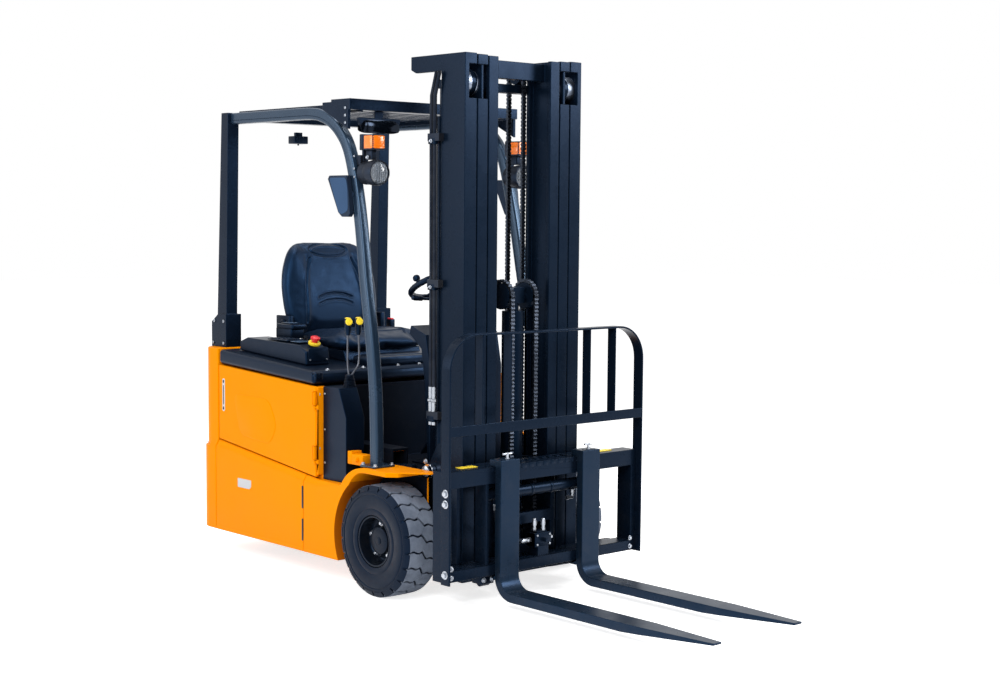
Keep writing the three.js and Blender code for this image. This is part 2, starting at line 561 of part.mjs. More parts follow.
function controlConsole() {
  const { rearX, length, in: y0, out: y1 } = CONSOLE;
  const frontX = rearX + length;
  const low = (x) => hoodTopZ(x) + SEAT_GAP;
  return slabY([[rearX, low(rearX)], [frontX, low(frontX)], [frontX - 4, 950], [frontX - 58, 975],
    [rearX + 56, 985], [rearX, 965]], -y0, -y1);
}

// Black cover beside the driver's right foot, which carries the hydraulic levers.
function leverCowl() {
  const { frontX, shoulderX, shoulderZ, top, inset, width } = COWL;
  const inner = FENDER_IN + inset;
  const low = STEP_Z + SEAT_GAP;
  return slabY([[STEP_X, low], [frontX, low], [frontX, shoulderZ], [shoulderX, top], [STEP_X, top]],
    -inner, -inner - width);
}

// A rubber boot with two levers; the inner one steps over the edge of the cowl.
function leverUnit() {
  const foot = { x: -307, y: -FENDER_IN - COWL.inset - 31, half: 15, width: 24, height: 50 };
  const low = COWL.top + SEAT_GAP;
  const boot = slabY([[foot.x - foot.half, low], [foot.x + foot.half, low], [foot.x + foot.half - 4, low + foot.height],
    [foot.x - foot.half + 4, low + foot.height]], foot.y - foot.width, foot.y + foot.width);
  const bend = low + foot.height + 10;
  const levers = [[foot.y - 5, foot.y - 3], [foot.y + 50, foot.y + 46]].map(([y0, y1]) => join(
    rod(V(foot.x, y0, bend - 8), V(foot.x, y1, 1085), 5, 10),
    rod(V(foot.x, y1, 1078), V(foot.x - 2, y1, 1122), 15, 16)));
  const step = rod(V(foot.x, foot.y + 6, bend - 4), V(foot.x, foot.y + 52, bend), 5, 10);
  const neck = rod(V(foot.x, foot.y - 5, low + foot.height - 5), V(foot.x, foot.y - 5, bend), 5, 10);
  const innerNeck = rod(V(foot.x, foot.y + 9, low + foot.height - 5), V(foot.x, foot.y + 9, bend), 5, 10);
  return join(boot, neck, innerNeck, step, ...levers);
}

function dash() {
  const { half, rearX, frontX } = DASH;
  const low = FLOOR_TOP + SEAT_GAP;
  const shell = slabY([[frontX - 13, low], [frontX, low], [frontX, 900], [frontX - 28, 1040],
    [rearX + 10, 1075], [rearX, 1040], [-120, 980], [-100, 860]], -half, half);
  const onColumn = (distance) => wheelCentre().addScaledVector(columnDirection(), -distance);
  const { columnLength, hubHalf } = STEERING_WHEEL;
  const column = rod(onColumn(columnLength), onColumn(hubHalf + SEAT_GAP), 30, 24);
  return join(shell, column);
}

const columnDirection = () => {
  const angle = THREE.MathUtils.degToRad(STEERING_WHEEL.tilt);
  return V(-Math.cos(angle), 0, Math.sin(angle));
};
const wheelCentre = () => V(STEERING_WHEEL.x, 0, STEERING_WHEEL.z);

function steeringWheel() {
  const { x, z, radius, rim, hubHalf } = STEERING_WHEEL;
  const ring = new THREE.TorusGeometry(radius, rim, 8, 28);
  const hub = new THREE.CylinderGeometry(38, 30, 2 * hubHalf, 24).rotateX(Math.PI / 2);
  const spokes = [90, 210, 330].map((degrees) => {
    const angle = THREE.MathUtils.degToRad(degrees);
    const out = V(Math.cos(angle), Math.sin(angle), 0).multiplyScalar(radius);
    return rod(V(0, 0, 0), out, 9, 12);
  });
  const knob = rod(V(0, -radius, 8), V(0, -radius, 52), 17, 16);
  const flat = geometryOf(join(ring, hub, ...spokes, knob));
  const turn = new THREE.Quaternion().setFromUnitVectors(V(0, 0, 1), columnDirection());
  return flat.applyQuaternion(turn).translate(x, 0, z);
}

function pedals() {
  const { plateRear, plateFront, right, left } = PEDAL;
  const floor = FLOOR_TOP;
  const plate = box(plateRear, plateFront, right, left, floor + SEAT_GAP, floor + 6);
  const pads = [[-100, 75], [60, 60]].map(([y, width]) => join(
    slabY([[-200, floor + 45], [-194, floor + 40], [-120, floor + 130], [-126, floor + 135]], y - width / 2, y + width / 2),
    rod(V(-150, y, floor + 4), V(-150, y, floor + 100), 8, 12)));
  return join(plate, ...pads);
}

function batteryBlock() {
  const { width, height, rearX, frontX, bottomZ } = BATTERY;
  return box(rearX, frontX, -width / 2, width / 2, bottomZ, bottomZ + height);
}

// ---------------------------------------------------------------- overhead guard
const GUARD = {
  tubeDepth: 25, tubeWidth: 20, footX: -83, lean: 35, railZ: 1962, bendEndX: -700, rearTopX: WAIST.rearX - 9,
  pillarIn: 22, pillarOut: 36, roofFrontX: -262, slats: 9, slatWidth: 32,
};
const GUARD_FOOT_Y = FRONT_WHEEL_Y - 1;
const GUARD_RAIL_Y = GUARD_FOOT_Y - GUARD.lean;

// The front leg's centre line, from its foot up and over into the level roof rail.
function guardRoute() {
  const { railZ, footX, bendEndX } = GUARD;
  const railY = GUARD_RAIL_Y;
  return new THREE.CatmullRomCurve3([
    V(footX, GUARD_FOOT_Y, FENDER_TOP + SEAT_GAP), V(-106, railY + 25, 817), V(-140, railY + 19, 1040),
    V(-188, railY + 12, 1270), V(-224, railY + 6, 1474), V(-262, railY + 2, 1640), V(-313, railY + 1, 1802),
    V(-361, railY, 1868), V(-431, railY, 1923), V(-523, railY, 1955), V(-640, railY, railZ), V(bendEndX, railY, railZ),
  ], false, 'centripetal');
}

function guardFront() {
  const { tubeWidth, tubeDepth, railZ, bendEndX, rearTopX } = GUARD;
  const leg = swept(guardRoute(), tubeWidth, tubeDepth, 22, 8);
  const section = roundedRect(GUARD_RAIL_Y - tubeWidth, GUARD_RAIL_Y + tubeWidth, railZ - tubeDepth, railZ + tubeDepth, 8);
  const rail = slabX(section, rearTopX, bendEndX + 10);
  const y = GUARD_FOOT_Y;
  const foot = box(GUARD.footX - 47, GUARD.footX + 53, y - 55, y + 55, FENDER_TOP + SEAT_GAP, FENDER_TOP + PLATE);
  return cut(join(leg, rail, foot), box(-400, 100, y - 160, y + 140, 0, FENDER_TOP + SEAT_GAP));
}

function guardRear() {
  const y0 = GUARD_RAIL_Y - GUARD.pillarIn;
  const y1 = GUARD_RAIL_Y + GUARD.pillarOut;
  const top = GUARD.rearTopX;
  const low = COUNTERWEIGHT_TOP + PLATE;
  const front = top - SEAT_GAP;
  const pillar = slabY([[top - 101, low], [top - 22, low], [front, 1940], [front, 1988], [top - 54, 1988]], y0, y1);
  const bracket = box(top - 124, top - 4, y0 - 11, y1 + 13, COUNTERWEIGHT_TOP + SEAT_GAP, COUNTERWEIGHT_TOP + 150);
  const chamfer = slabY([[top - 129, COUNTERWEIGHT_TOP + 110], [top - 129, COUNTERWEIGHT_TOP + 160],
    [top - 56, COUNTERWEIGHT_TOP + 160]], y0 - 20, y1 + 20);
  return join(cut(bracket, chamfer), pillar);
}

function guardRoof() {
  const { tubeWidth, roofFrontX: front, rearTopX, slats: count, slatWidth } = GUARD;
  const half = GUARD_RAIL_Y - tubeWidth - SEAT_GAP;
  const rear = rearTopX + MOVE_GAP;
  const top = GUARD_HEIGHT;
  const header = box(front - 50, front, -half - 60, half + 60, top - 45, top);
  const tail = box(rear, rear + 60, -half, half, top - 60, top - 14);
  const sides = SIDES.map(([side]) => box(rear, front - 5, side * (half - PLATE), side * half, top - 52, top - 14));
  const gussets = SIDES.map(([side]) => slabY(
    [[front - 12, top - 10], [front - 190, top - 10], [front - 190, top - 40], [front - 12, top - 125]],
    side * (half + 60 - PLATE), side * (half + 60)));
  const slats = [];
  const pitch = (rear + 60 - (front - 50)) / (count + 1);
  for (let i = 1; i <= count; i += 1) {
    const x = front - 50 + i * pitch;
    slats.push(box(x - slatWidth / 2, x + slatWidth / 2, -half, half, top - 34, top - 14));
  }
  const blocks = SIDES.map(([side]) => box(front - 130, front - 40, side * half, side * (half + 60), top - PLATE, top));
  return join(header, tail, ...sides, ...gussets, ...slats, ...blocks);
}

const LAMP = { y: GUARD_RAIL_Y - 24, headZ: 1707, headRadius: 48, backX: -236, frontX: -150, armX: -263.95 };

function lamp() {
  const { y, headZ, headRadius, backX, frontX, armX } = LAMP;
  const bracket = slabX([[y - 12, 1690], [y + 12, 1690], [y + 12, 1850], [y - 12, 1850]], backX - PLATE, backX);
  const head = rod(V(backX, y, headZ), V(frontX, y, headZ), headRadius, 28);
  const signal = box(backX, frontX, y - 32, y + 32, 1800, 1862);
  const arm = box(armX, backX - 4, y + 4, y + 26, 1740, 1780);
  return join(bracket, head, signal, arm);
}

// A flat mirror on a stub that stands out from the front leg.
const SIDE_MIRROR = { gap: 27, thickness: 22, stubX: -262, stubZ: 1620, stubRadius: 11, seat: 22.87 };

function sideMirror() {
  const { gap, thickness, stubX, stubZ, stubRadius, seat } = SIDE_MIRROR;
  const y0 = GUARD_RAIL_Y + gap;
  const glass = slabY([[-402, 1683], [-392, 1697], [-275, 1697], [-262, 1640], [-250, 1540], [-262, 1527],
    [-305, 1527], [-330, 1545]], y0, y0 + thickness);
  return join(glass, rod(V(stubX, GUARD_RAIL_Y + seat, stubZ), V(stubX, y0 + 1, stubZ), stubRadius, 14));
}

// A half-round mirror under the front header, to the right of the driver.
const CENTRE_MIRROR = { y: -290, half: 110, drop: 65, rearX: -305, frontX: -285, top: 1935 };

function centreMirror() {
  const { y, half, drop, rearX, frontX, top } = CENTRE_MIRROR;
  const shape = new THREE.Shape();
  shape.moveTo(-half, 0);
  shape.quadraticCurveTo(-half + 10, -drop + 5, 0, -drop);
  shape.quadraticCurveTo(half - 10, -drop + 5, half, 0);
  const body = slabX(shape, rearX, frontX).translate(0, y, top);
  const middle = (rearX + frontX) / 2;
  const stem = box(middle - 4, middle + 4, y - 20, y + 20, top - 1, GUARD_HEIGHT - 45 - SEAT_GAP);
  return join(body, stem);
}

// ---------------------------------------------------------------- mast
function rollerAt(y0, y1, z) {
  return rod(V(ROLLER_X, y0, z), V(ROLLER_X, y1, z), ROLLER_RADIUS, 24);
}

function notch(band) {
  return box(RAIL_CAVITY.front - 1, RAIL.frontX + 1, band.in - 1, band.out - 22, 1995, 2128);
}

function flanges(band, z0, z1) {
  return join(
    box(RAIL.rearX, RAIL_CAVITY.rear, band.in, band.out, z0, z1),
    box(RAIL_CAVITY.front, RAIL.frontX, band.in, band.out, z0, z1));
}

function outerMast() {
  const { outer, bottomZ, web, rearX, frontX } = RAIL;
  const half = [];
  const rail = join(flanges(outer, bottomZ, MAST_HEIGHT),
    box(rearX, frontX, outer.out - web, outer.out, bottomZ, MAST_HEIGHT));
  half.push(cut(rail, notch(outer)));
  half.push(rollerAt(RAIL.middle.web + RAIL.web / 2 + MOVE_GAP, outer.out - web + 1, ROLLER.topZ));
  half.push(slabY([[-48, 2118], [-20, MAST_HEIGHT - 66], [160, MAST_HEIGHT - 66], [160, MAST_HEIGHT],
    [-48, MAST_HEIGHT]], 300, outer.out));
  half.push(slabY([[40, 395], [160, 395], [160, 620], [130, 620], [40, 465]], outer.out - web, outer.out));
  half.push(tiltLug(), pivotEar());
  const sides = SIDES.flatMap(([side]) => half.map((shape) => handed(side, shape)));
  const crossbar = box(-48, 0, -outer.out, outer.out, 2118, MAST_HEIGHT);
  const foot = join(box(70, RAIL.rearX - MOVE_GAP, -outer.out, outer.out, 86, 126),
    ...SIDES.map(([side]) => box(70, RAIL.rearX + 1, side * outer.in, side * outer.out, 86, 126)));
  const middleTie = box(40, 74, -outer.out, outer.out, 400, 460);
  return join(...sides, crossbar, foot, middleTie);
}

// The lug and pin that the tilt cylinder's eye holds.
function tiltLug() {
  const { eyeX, eyeZ, y } = TILT_CYLINDER;
  const out = RAIL.outer.out;
  const plate = slabY([[eyeX - 30, eyeZ - 40], [160, eyeZ - 60], [160, eyeZ + 60], [eyeX - 30, eyeZ + 30]],
    out - RAIL.web, out);
  const pin = rod(V(eyeX, out - 2, eyeZ), V(eyeX, y + 18, eyeZ), 14, 20);
  const washer = rod(V(eyeX, y + 15, eyeZ), V(eyeX, y + 22, eyeZ), 21, 24);
  return join(plate, pin, washer);
}

// The ear that turns on the chassis pin when the mast tilts.
function pivotEar() {
  const { x, z, radius } = TILT_PIVOT;
  const out = RAIL.outer.out;
  const ear = slabY([[x - 34, z - 30], [160, z - 60], [160, z + 70], [x, z + 48], [x - 34, z + 30]],
    out - RAIL.web, out + 24);
  const bore = rod(V(x, out + 3, z), V(x, out + 30, z), radius + PIN_GAP, 20);
  return cut(ear, bore);
}

function middleMast() {
  const { middle, web, rearX, frontX, bottomZ } = RAIL;
  const z0 = bottomZ + 6;
  const z1 = MAST_HEIGHT - 3;
  const webY = [middle.web - web / 2, middle.web + web / 2];
  const rail = join(flanges(middle, z0, z1), box(rearX + 5, frontX - 5, webY[0], webY[1], z0, z1));
  const half = [cut(rail, notch({ in: middle.in, out: middle.out + 22 }))];
  half[0] = join(half[0], box(rearX + 5, frontX - 5, webY[0], webY[1], z0, z1));
  half.push(rollerAt(middle.web, RAIL.outer.out - web - MOVE_GAP, ROLLER.bottomZ));
  half.push(rollerAt(RAIL.inner.web + web / 2 + MOVE_GAP, middle.web, ROLLER.topZ - 4));
  const { x, y, z, pitch } = MAIN_SHEAVE;
  const sheaveRadius = pitch - CHAIN.depth / 2 - ROLLER.gap;
  half.push(rod(V(x, y - CHAIN.width / 2, z), V(x, y + CHAIN.width / 2, z), sheaveRadius, 24));
  half.push(box(x - 20, x + 20, y + CHAIN.width / 2 - 1, y + 20, 2041, z + 12));
  half.push(box(85, rearX - MOVE_GAP, middle.in, LIFT_CYLINDER.y + 17, 2040, 2075));
  half.push(box(85, rearX + 1, middle.in, middle.out, 2040, 2075));
  half.push(rod(V(LIFT_CYLINDER.x, LIFT_CYLINDER.y, 190), V(LIFT_CYLINDER.x, LIFT_CYLINDER.y, 2041), LIFT_CYLINDER.rod, 16));
  const sides = SIDES.flatMap(([side]) => half.map((shape) => handed(side, shape)));
  const topTie = box(85, 132, -middle.in - 5, middle.in + 5, 2040, 2075);
  const bottomTie = box(112, 137, -middle.out + 11, middle.out - 11, 135, 200);
  const bottomLinks = SIDES.map(([side]) => box(112, rearX + 1, side * middle.in, side * (middle.out - 11), 135, 200));
  return join(...sides, topTie, bottomTie, ...bottomLinks);
}

function innerMast() {
  const { inner, web, rearX, frontX, bottomZ } = RAIL;
  const z0 = bottomZ + 11;
  const z1 = MAST_HEIGHT - 6;
  const webY = [inner.web - web / 2, inner.web + web / 2];
  const half = [flanges(inner, z0, z1), box(rearX + 5, frontX - 5, webY[0], webY[1], z0, z1)];
  half.push(rollerAt(inner.web, RAIL.middle.web - web / 2 - MOVE_GAP, ROLLER.bottomZ + 5));
  const sides = SIDES.flatMap(([side]) => half.map((shape) => handed(side, shape)));
  const bottomTie = box(rearX + 3, rearX + 15, -inner.in - 5, inner.in + 5, 95, 190);
  const cylinderFoot = box(rearX + 3, FREE_CYLINDER.x + 47, -60, 60, 150, 190);
  const topTie = box(190, 230, -webY[0] - 2, webY[0] + 2, 2086, 2157);
  return join(...sides, bottomTie, cylinderFoot, topTie);
}

function liftCylinder() {
  const { x, y, barrel, bore, rod: rodRadius, topZ } = LIFT_CYLINDER;
  const low = 126 + SEAT_GAP;
  const body = rod(V(x, y, low), V(x, y, topZ), barrel, 20);
  const inside = rod(V(x, y, low + 40), V(x, y, topZ - 30), bore, 16);
  const gland = rod(V(x, y, topZ - 40), V(x, y, topZ + 10), rodRadius + 1, 16);
  return cut(body, inside, gland);
}

function freeCylinder() {
  const { x, barrel, bore, rod: rodRadius, topZ } = FREE_CYLINDER;
  const low = 190 + SEAT_GAP;
  const body = rod(V(x, 0, low), V(x, 0, topZ), barrel, 24);
  const inside = rod(V(x, 0, low + 40), V(x, 0, topZ - 30), bore, 16);
  const gland = rod(V(x, 0, topZ - 40), V(x, 0, topZ + 10), rodRadius + 1, 16);
  return cut(body, inside, gland);
}

function liftRam() {
  const { x, rod: radius } = FREE_CYLINDER;
  const { x: sheaveX, y, topZ, pitch } = FREE_SHEAVE;
  const wheelRadius = pitch - CHAIN.depth / 2 - ROLLER.gap;
  const z = topZ - pitch;
  const ram = rod(V(x, 0, 330), V(x, 0, z), radius, 24);
  const head = box(x - 28, x + 28, -40, 40, z - 30, z + 36);
  const axle = rod(V(sheaveX, -y - CHAIN.width / 2, z), V(sheaveX, y + CHAIN.width / 2, z), 16, 20);
  const wheels = SIDES.map(([side]) => rod(
    V(sheaveX, side * (y - CHAIN.width / 2), z), V(sheaveX, side * (y + CHAIN.width / 2), z), wheelRadius, 24));
  return join(ram, head, axle, ...wheels);
}

function chainRun(x, y, z0, z1) {
  return box(x - CHAIN.depth / 2, x + CHAIN.depth / 2, y - CHAIN.width / 2, y + CHAIN.width / 2, z0, z1);
}

const CARRIAGE_ANCHOR = { z0: 296, z1: 330 };

function carriageChains() {
  const { x, y, topZ, pitch } = FREE_SHEAVE;
  const front = x + pitch;
  const runs = SIDES.map(([side]) => chainRun(front, side * y, CARRIAGE_ANCHOR.z1 - 2, topZ - pitch));
  const yoke = box(front - 10, CARRIAGE.backX - SEAT_GAP, -y - 15, y + 15, CARRIAGE_ANCHOR.z0, CARRIAGE_ANCHOR.z1);
  return join(...runs, yoke);
}

function ramChains() {
  const { x, y, topZ, pitch } = FREE_SHEAVE;
  const rear = x - pitch;
  const runs = SIDES.map(([side]) => chainRun(rear, side * y, 205, topZ - pitch));
  const yoke = box(rear - 8, rear + 10, -y - 12, y + 12, 190 + SEAT_GAP, 207);
  return join(...runs, yoke);
}

// One pair of the mast's chain runs, hung on the bar that anchors them.
function mastChains(x, barX0, barX1, z0) {
  const { y, z } = MAIN_SHEAVE;
  const runs = SIDES.map(([side]) => chainRun(x, side * y, z0 + 2, z));
  return join(...runs, box(barX0, barX1, -y - 13, y + 13, z0, z0 + 25));
}

function mastHoses() {
  const y = -324 - 9;
  const lines = [104, 124].map((x) => {
    const route = new THREE.CatmullRomCurve3([V(x, y, 700), V(x, y, 1300), V(x, y, 2040), V(x + 6, y, 2085),
      V(x + 26, y, 2100)], false, 'centripetal');
    return tube(route, 8, 14, 8);
  });
  const fittings = [104, 124].map((x) => rod(V(x, y, 694), V(x, y, 850), 9.5, 12));
  const clamps = [720, 1250, 1830].map((z) => box(90, 160, y - 11, -RAIL.outer.out - SEAT_GAP, z, z + 30));
  return join(...lines, ...fittings, ...clamps);
}

// ---------------------------------------------------------------- tilt cylinders
function tiltAxis() {
  const { anchorX, anchorZ, eyeX, eyeZ } = TILT_CYLINDER;
  return V(eyeX - anchorX, 0, eyeZ - anchorZ).normalize();
}

function tiltBarrel() {
  const { anchorX, anchorZ, y, barrel, rod: rodRadius } = TILT_CYLINDER;
  const start = V(anchorX, y, anchorZ);
  const dir = tiltAxis();
  const at = (s) => start.clone().addScaledVector(dir, s);
  const eye = rod(V(anchorX, y - 11, anchorZ), V(anchorX, y + 11, anchorZ), 24, 24);
  const body = rod(at(18), at(330), barrel, 20);
  const bore = rod(at(50), at(340), rodRadius + 3, 14);
  const pinHole = rod(V(anchorX, y - 30, anchorZ), V(anchorX, y + 30, anchorZ), 12 + PIN_GAP, 20);
  return cut(join(eye, body), bore, pinHole);
}

function tiltRod() {
  const { anchorX, anchorZ, eyeX, eyeZ, y, rod: rodRadius } = TILT_CYLINDER;
  const start = V(anchorX, y, anchorZ);
  const shaft = rod(start.clone().addScaledVector(tiltAxis(), 100), V(eyeX, y, eyeZ), rodRadius, 20);
  const eye = rod(V(eyeX, y - 10, eyeZ), V(eyeX, y + 12, eyeZ), 30, 28);
  const hole = rod(V(eyeX, y - 30, eyeZ), V(eyeX, y + 30, eyeZ), 14 + EYE_GAP, 24);
  return cut(join(shaft, eye), hole);
}

// ---------------------------------------------------------------- carriage and what hangs on it
function carriage() {
  const { plateIn, plateOut, rearX, backX, frontX, bottomZ, topZ } = CARRIAGE;
  const webFace = RAIL.inner.web - RAIL.web / 2;
  const half = [
    box(rearX, frontX, plateIn, plateOut, bottomZ, topZ - 22),
    rollerAt(plateIn + 2, webFace - MOVE_GAP, 180),
    rollerAt(plateIn + 2, webFace - MOVE_GAP, 480),
  ];
  const sides = SIDES.flatMap(([side]) => half.map((shape) => handed(side, shape)));
  const upper = box(backX, frontX, -480, 480, SHIFTER.highZ, 540);
  const lower = box(backX, frontX, -480, 480, SHIFTER.lowZ, 165);
  const chainBar = box(backX, frontX, -plateIn - 4, plateIn + 4, 290, 336);
  const ends = SIDES.map(([side]) => box(backX, frontX, side * 380, side * 396, 160, SHIFTER.highZ + 5));
  return join(...sides, upper, lower, chainBar, ...ends);
}

function sideShifter() {
  const { backX, halfWidth, lowZ, highZ, barLow, barHigh } = SHIFTER;
  const front = BAR_FRONT_X;
  const upper = box(backX, front, -halfWidth, halfWidth, highZ, highZ + barHigh);
  const lower = box(backX, front, -halfWidth, halfWidth, lowZ, lowZ + barLow);
  const hook = box(318, backX + 1, -330, 330, 540 + ROLLER.gap, highZ + barHigh);
  const keeper = box(318, backX + 1, -300, 300, 105, lowZ - ROLLER.gap);
  const keeperFace = box(backX, backX + 30, -300, 300, 105, lowZ + 2);
  const posts = SIDES.flatMap(([side]) => [
    box(backX + 10, front - 6, side * 300, side * 316, lowZ + 5, highZ + 5),
    box(backX, front, side * (halfWidth - 14), side * (BACKREST.halfWidth - BACKREST.strap - SEAT_GAP), lowZ, highZ + barHigh),
  ]);
  const ram = rod(V(392, -301, 440), V(392, 301, 440), 24, 20);
  const port = box(382, 402, -248, -224, 400, 425);
  const valve = box(366, 420, -45, 45, 205, 262);
  const valveFoot = box(366, 420, -30, 30, lowZ + barLow - 1, 207);
  return join(upper, lower, hook, keeper, keeperFace, ...posts, ram, port, valve, valveFoot);
}

function loadBackrest() {
  const { halfWidth, topZ, strap, depth, corner, bottomZ, railZ } = BACKREST;
  const front = FORK_FACE_X - 6;
  const arch = (inset) => {
    const half = halfWidth - inset;
    const top = topZ - inset;
    const radius = corner - inset;
    const shape = new THREE.Shape();
    shape.moveTo(-half, bottomZ);
    shape.lineTo(-half, top - radius);
    shape.absarc(-half + radius, top - radius, radius, Math.PI, Math.PI / 2, true);
    shape.lineTo(half - radius, top);
    shape.absarc(half - radius, top - radius, radius, Math.PI / 2, 0, true);
    shape.lineTo(half, bottomZ);
    return shape;
  };
  const whole = slabX(arch(0), front - depth, front);
  const window = slabX(arch(strap), front - depth - 5, front + 5);
  const below = box(front - depth - 5, front + 5, -halfWidth + strap, halfWidth - strap, bottomZ - 10, bottomZ + 10);
  const rail = box(front - strap, front, -halfWidth + 2, halfWidth - 2, railZ, railZ + 40);
  const bars = [-365, -218, 218, 365].map((y) => box(front - 45, front, y - 3, y + 3, railZ + 2, topZ - 4));
  return join(cut(whole, window, below), rail, ...bars);
}

function forkArm() {
  const { y, width, thickness, bladeTop, topZ, tipWidth, tipTaper } = FORK;
  const heel = 60;
  const bottom = bladeTop - thickness;
  const profile = new THREE.Shape();
  profile.moveTo(FORK_FACE_X - thickness, topZ);
  profile.lineTo(FORK_FACE_X - thickness, bottom + heel + thickness);
  profile.absarc(FORK_FACE_X + heel, bottom + heel + thickness, heel + thickness, Math.PI, Math.PI * 1.5);
  profile.lineTo(FORK_TIP_X - 420, bottom);
  profile.lineTo(FORK_TIP_X, bladeTop - 9);
  profile.lineTo(FORK_TIP_X, bladeTop);
  profile.lineTo(FORK_FACE_X + heel, bladeTop);
  profile.absarc(FORK_FACE_X + heel, bladeTop + heel, heel, Math.PI * 1.5, Math.PI, true);
  profile.lineTo(FORK_FACE_X, topZ);
  const arm = slabY(profile, y - width / 2, y + width / 2);
  const taper = [-1, 1].map((edge) => slabZ([[FORK_TIP_X - tipTaper, y + (edge * width) / 2],
    [FORK_TIP_X + 1, y + (edge * tipWidth) / 2], [FORK_TIP_X + 1, y + edge * width], [FORK_TIP_X - tipTaper, y + edge * width]],
  0, bladeTop + 20));
  const back = FORK_FACE_X - thickness;
  const hookBase = SHIFTER.highZ + SHIFTER.barHigh + ROLLER.gap;
  const hook = box(back - 34, back + 1, y - width / 2, y + width / 2, hookBase, topZ);
  const toe = box(back - 34, back + 1, y - width / 2, y + width / 2, SHIFTER.lowZ - ROLLER.gap - 20, SHIFTER.lowZ - ROLLER.gap);
  return join(cut(arm, ...taper), hook, toe);
}

// The side-shift hose, from the valve block round to the cylinder's end.
const HOSE_POINTS = [
  [393, -45.3, 233], [393, -62, 233], [394, -84, 235], [396, -110, 239], [398, -140, 247], [399, -170, 259],
  [399, -198, 276], [398, -220, 298], [397, -233, 324], [395, -237, 350], [392, -236, 382],
  [392, -236, 399.6],
];

function sideShiftHose() {
  const route = new THREE.CatmullRomCurve3(HOSE_POINTS.map(([x, y, z]) => V(x, y, z)), false, 'centripetal');
  return tube(route, 7, 36, 8);
}

// ---------------------------------------------------------------- the truck
piece('frame', chassisFrame(), YELLOW);
piece('drive_axle', driveAxle(), CAST_IRON);
piece('counterweight', join(counterweight(), ...hoodHingePins()), YELLOW);
piece('battery', batteryBlock(), CAST_IRON);
for (const [side, name] of SIDES) {
  piece(`side_panel_${name}`, handed(side, sidePanel()), YELLOW);
  piece(`front_wing_${name}`, handed(side, frontWing()), YELLOW);
  piece(`battery_door_${name}`, handed(side, batteryDoor()), YELLOW);
  piece(`front_rim_${name}`, handed(side, frontRim()), CAST_IRON);
  piece(`front_tyre_${name}`, handed(side, frontTyre()), RUBBER);
  piece(`rear_tyre_${name}`, handed(side, rearTyre()), RUBBER);
  piece(`guard_front_${name}`, handed(side, guardFront()), BLACK_STEEL);
  piece(`guard_rear_${name}`, handed(side, guardRear()), BLACK_STEEL);
  piece(`lamp_${name}`, handed(side, lamp()), LENS);
  piece(`side_mirror_${name}`, handed(side, sideMirror()), MIRROR);
  piece(`lift_cylinder_${name}`, handed(side, liftCylinder()), BLACK_STEEL);
  piece(`tilt_barrel_${name}`, handed(side, tiltBarrel()), BLACK_STEEL);
  piece(`tilt_rod_${name}`, handed(side, tiltRod()), CHROME);
  piece(`fork_${name}`, handed(side, forkArm()), BLACK_STEEL);
}
piece('steer_knuckle', steerKnuckle(), CAST_IRON);
piece('rear_wheel_hub', rearWheelSet(), CAST_IRON);
piece('hood', hood(), BLACK_PLASTIC);
piece('seat_base', seatBase(), BLACK_PLASTIC);
piece('seat_cushion', seatCushion(), VINYL);
piece('seat_back', seatBack(), VINYL);
piece('control_console', controlConsole(), BLACK_PLASTIC);
piece('lever_cowl', leverCowl(), BLACK_PLASTIC);
piece('lever_unit', leverUnit(), BLACK_PLASTIC);
piece('dash', dash(), BLACK_PLASTIC);
piece('steering_wheel', steeringWheel(), BLACK_PLASTIC);
piece('pedals', pedals(), BLACK_STEEL);
piece('guard_roof', guardRoof(), BLACK_STEEL);
piece('centre_mirror', centreMirror(), MIRROR);
piece('outer_mast', outerMast(), BLACK_STEEL);
piece('middle_mast', middleMast(), BLACK_STEEL);
piece('inner_mast', innerMast(), BLACK_STEEL);
piece('free_lift_cylinder', freeCylinder(), BLACK_STEEL);
piece('lift_ram', liftRam(), STEEL);
piece('carriage_chains', carriageChains(), CHAIN_STEEL);
piece('ram_chains', ramChains(), CHAIN_STEEL);
piece('mast_chains_front', mastChains(MAIN_SHEAVE.x + MAIN_SHEAVE.pitch, 145, 157, 190 + SEAT_GAP), CHAIN_STEEL);
piece('mast_chains_rear', mastChains(MAIN_SHEAVE.x - MAIN_SHEAVE.pitch, 52, 68, 460 + SEAT_GAP), CHAIN_STEEL);
piece('mast_hoses', mastHoses(), RUBBER);
piece('carriage', carriage(), BLACK_STEEL);
piece('side_shifter', sideShifter(), BLACK_STEEL);
piece('side_shift_hose', sideShiftHose(), RUBBER);
piece('load_backrest', loadBackrest(), BLACK_STEEL);

export default truck;
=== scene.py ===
import json
import math

import bmesh
import bpy
import numpy as np
from mathutils import Matrix, Vector


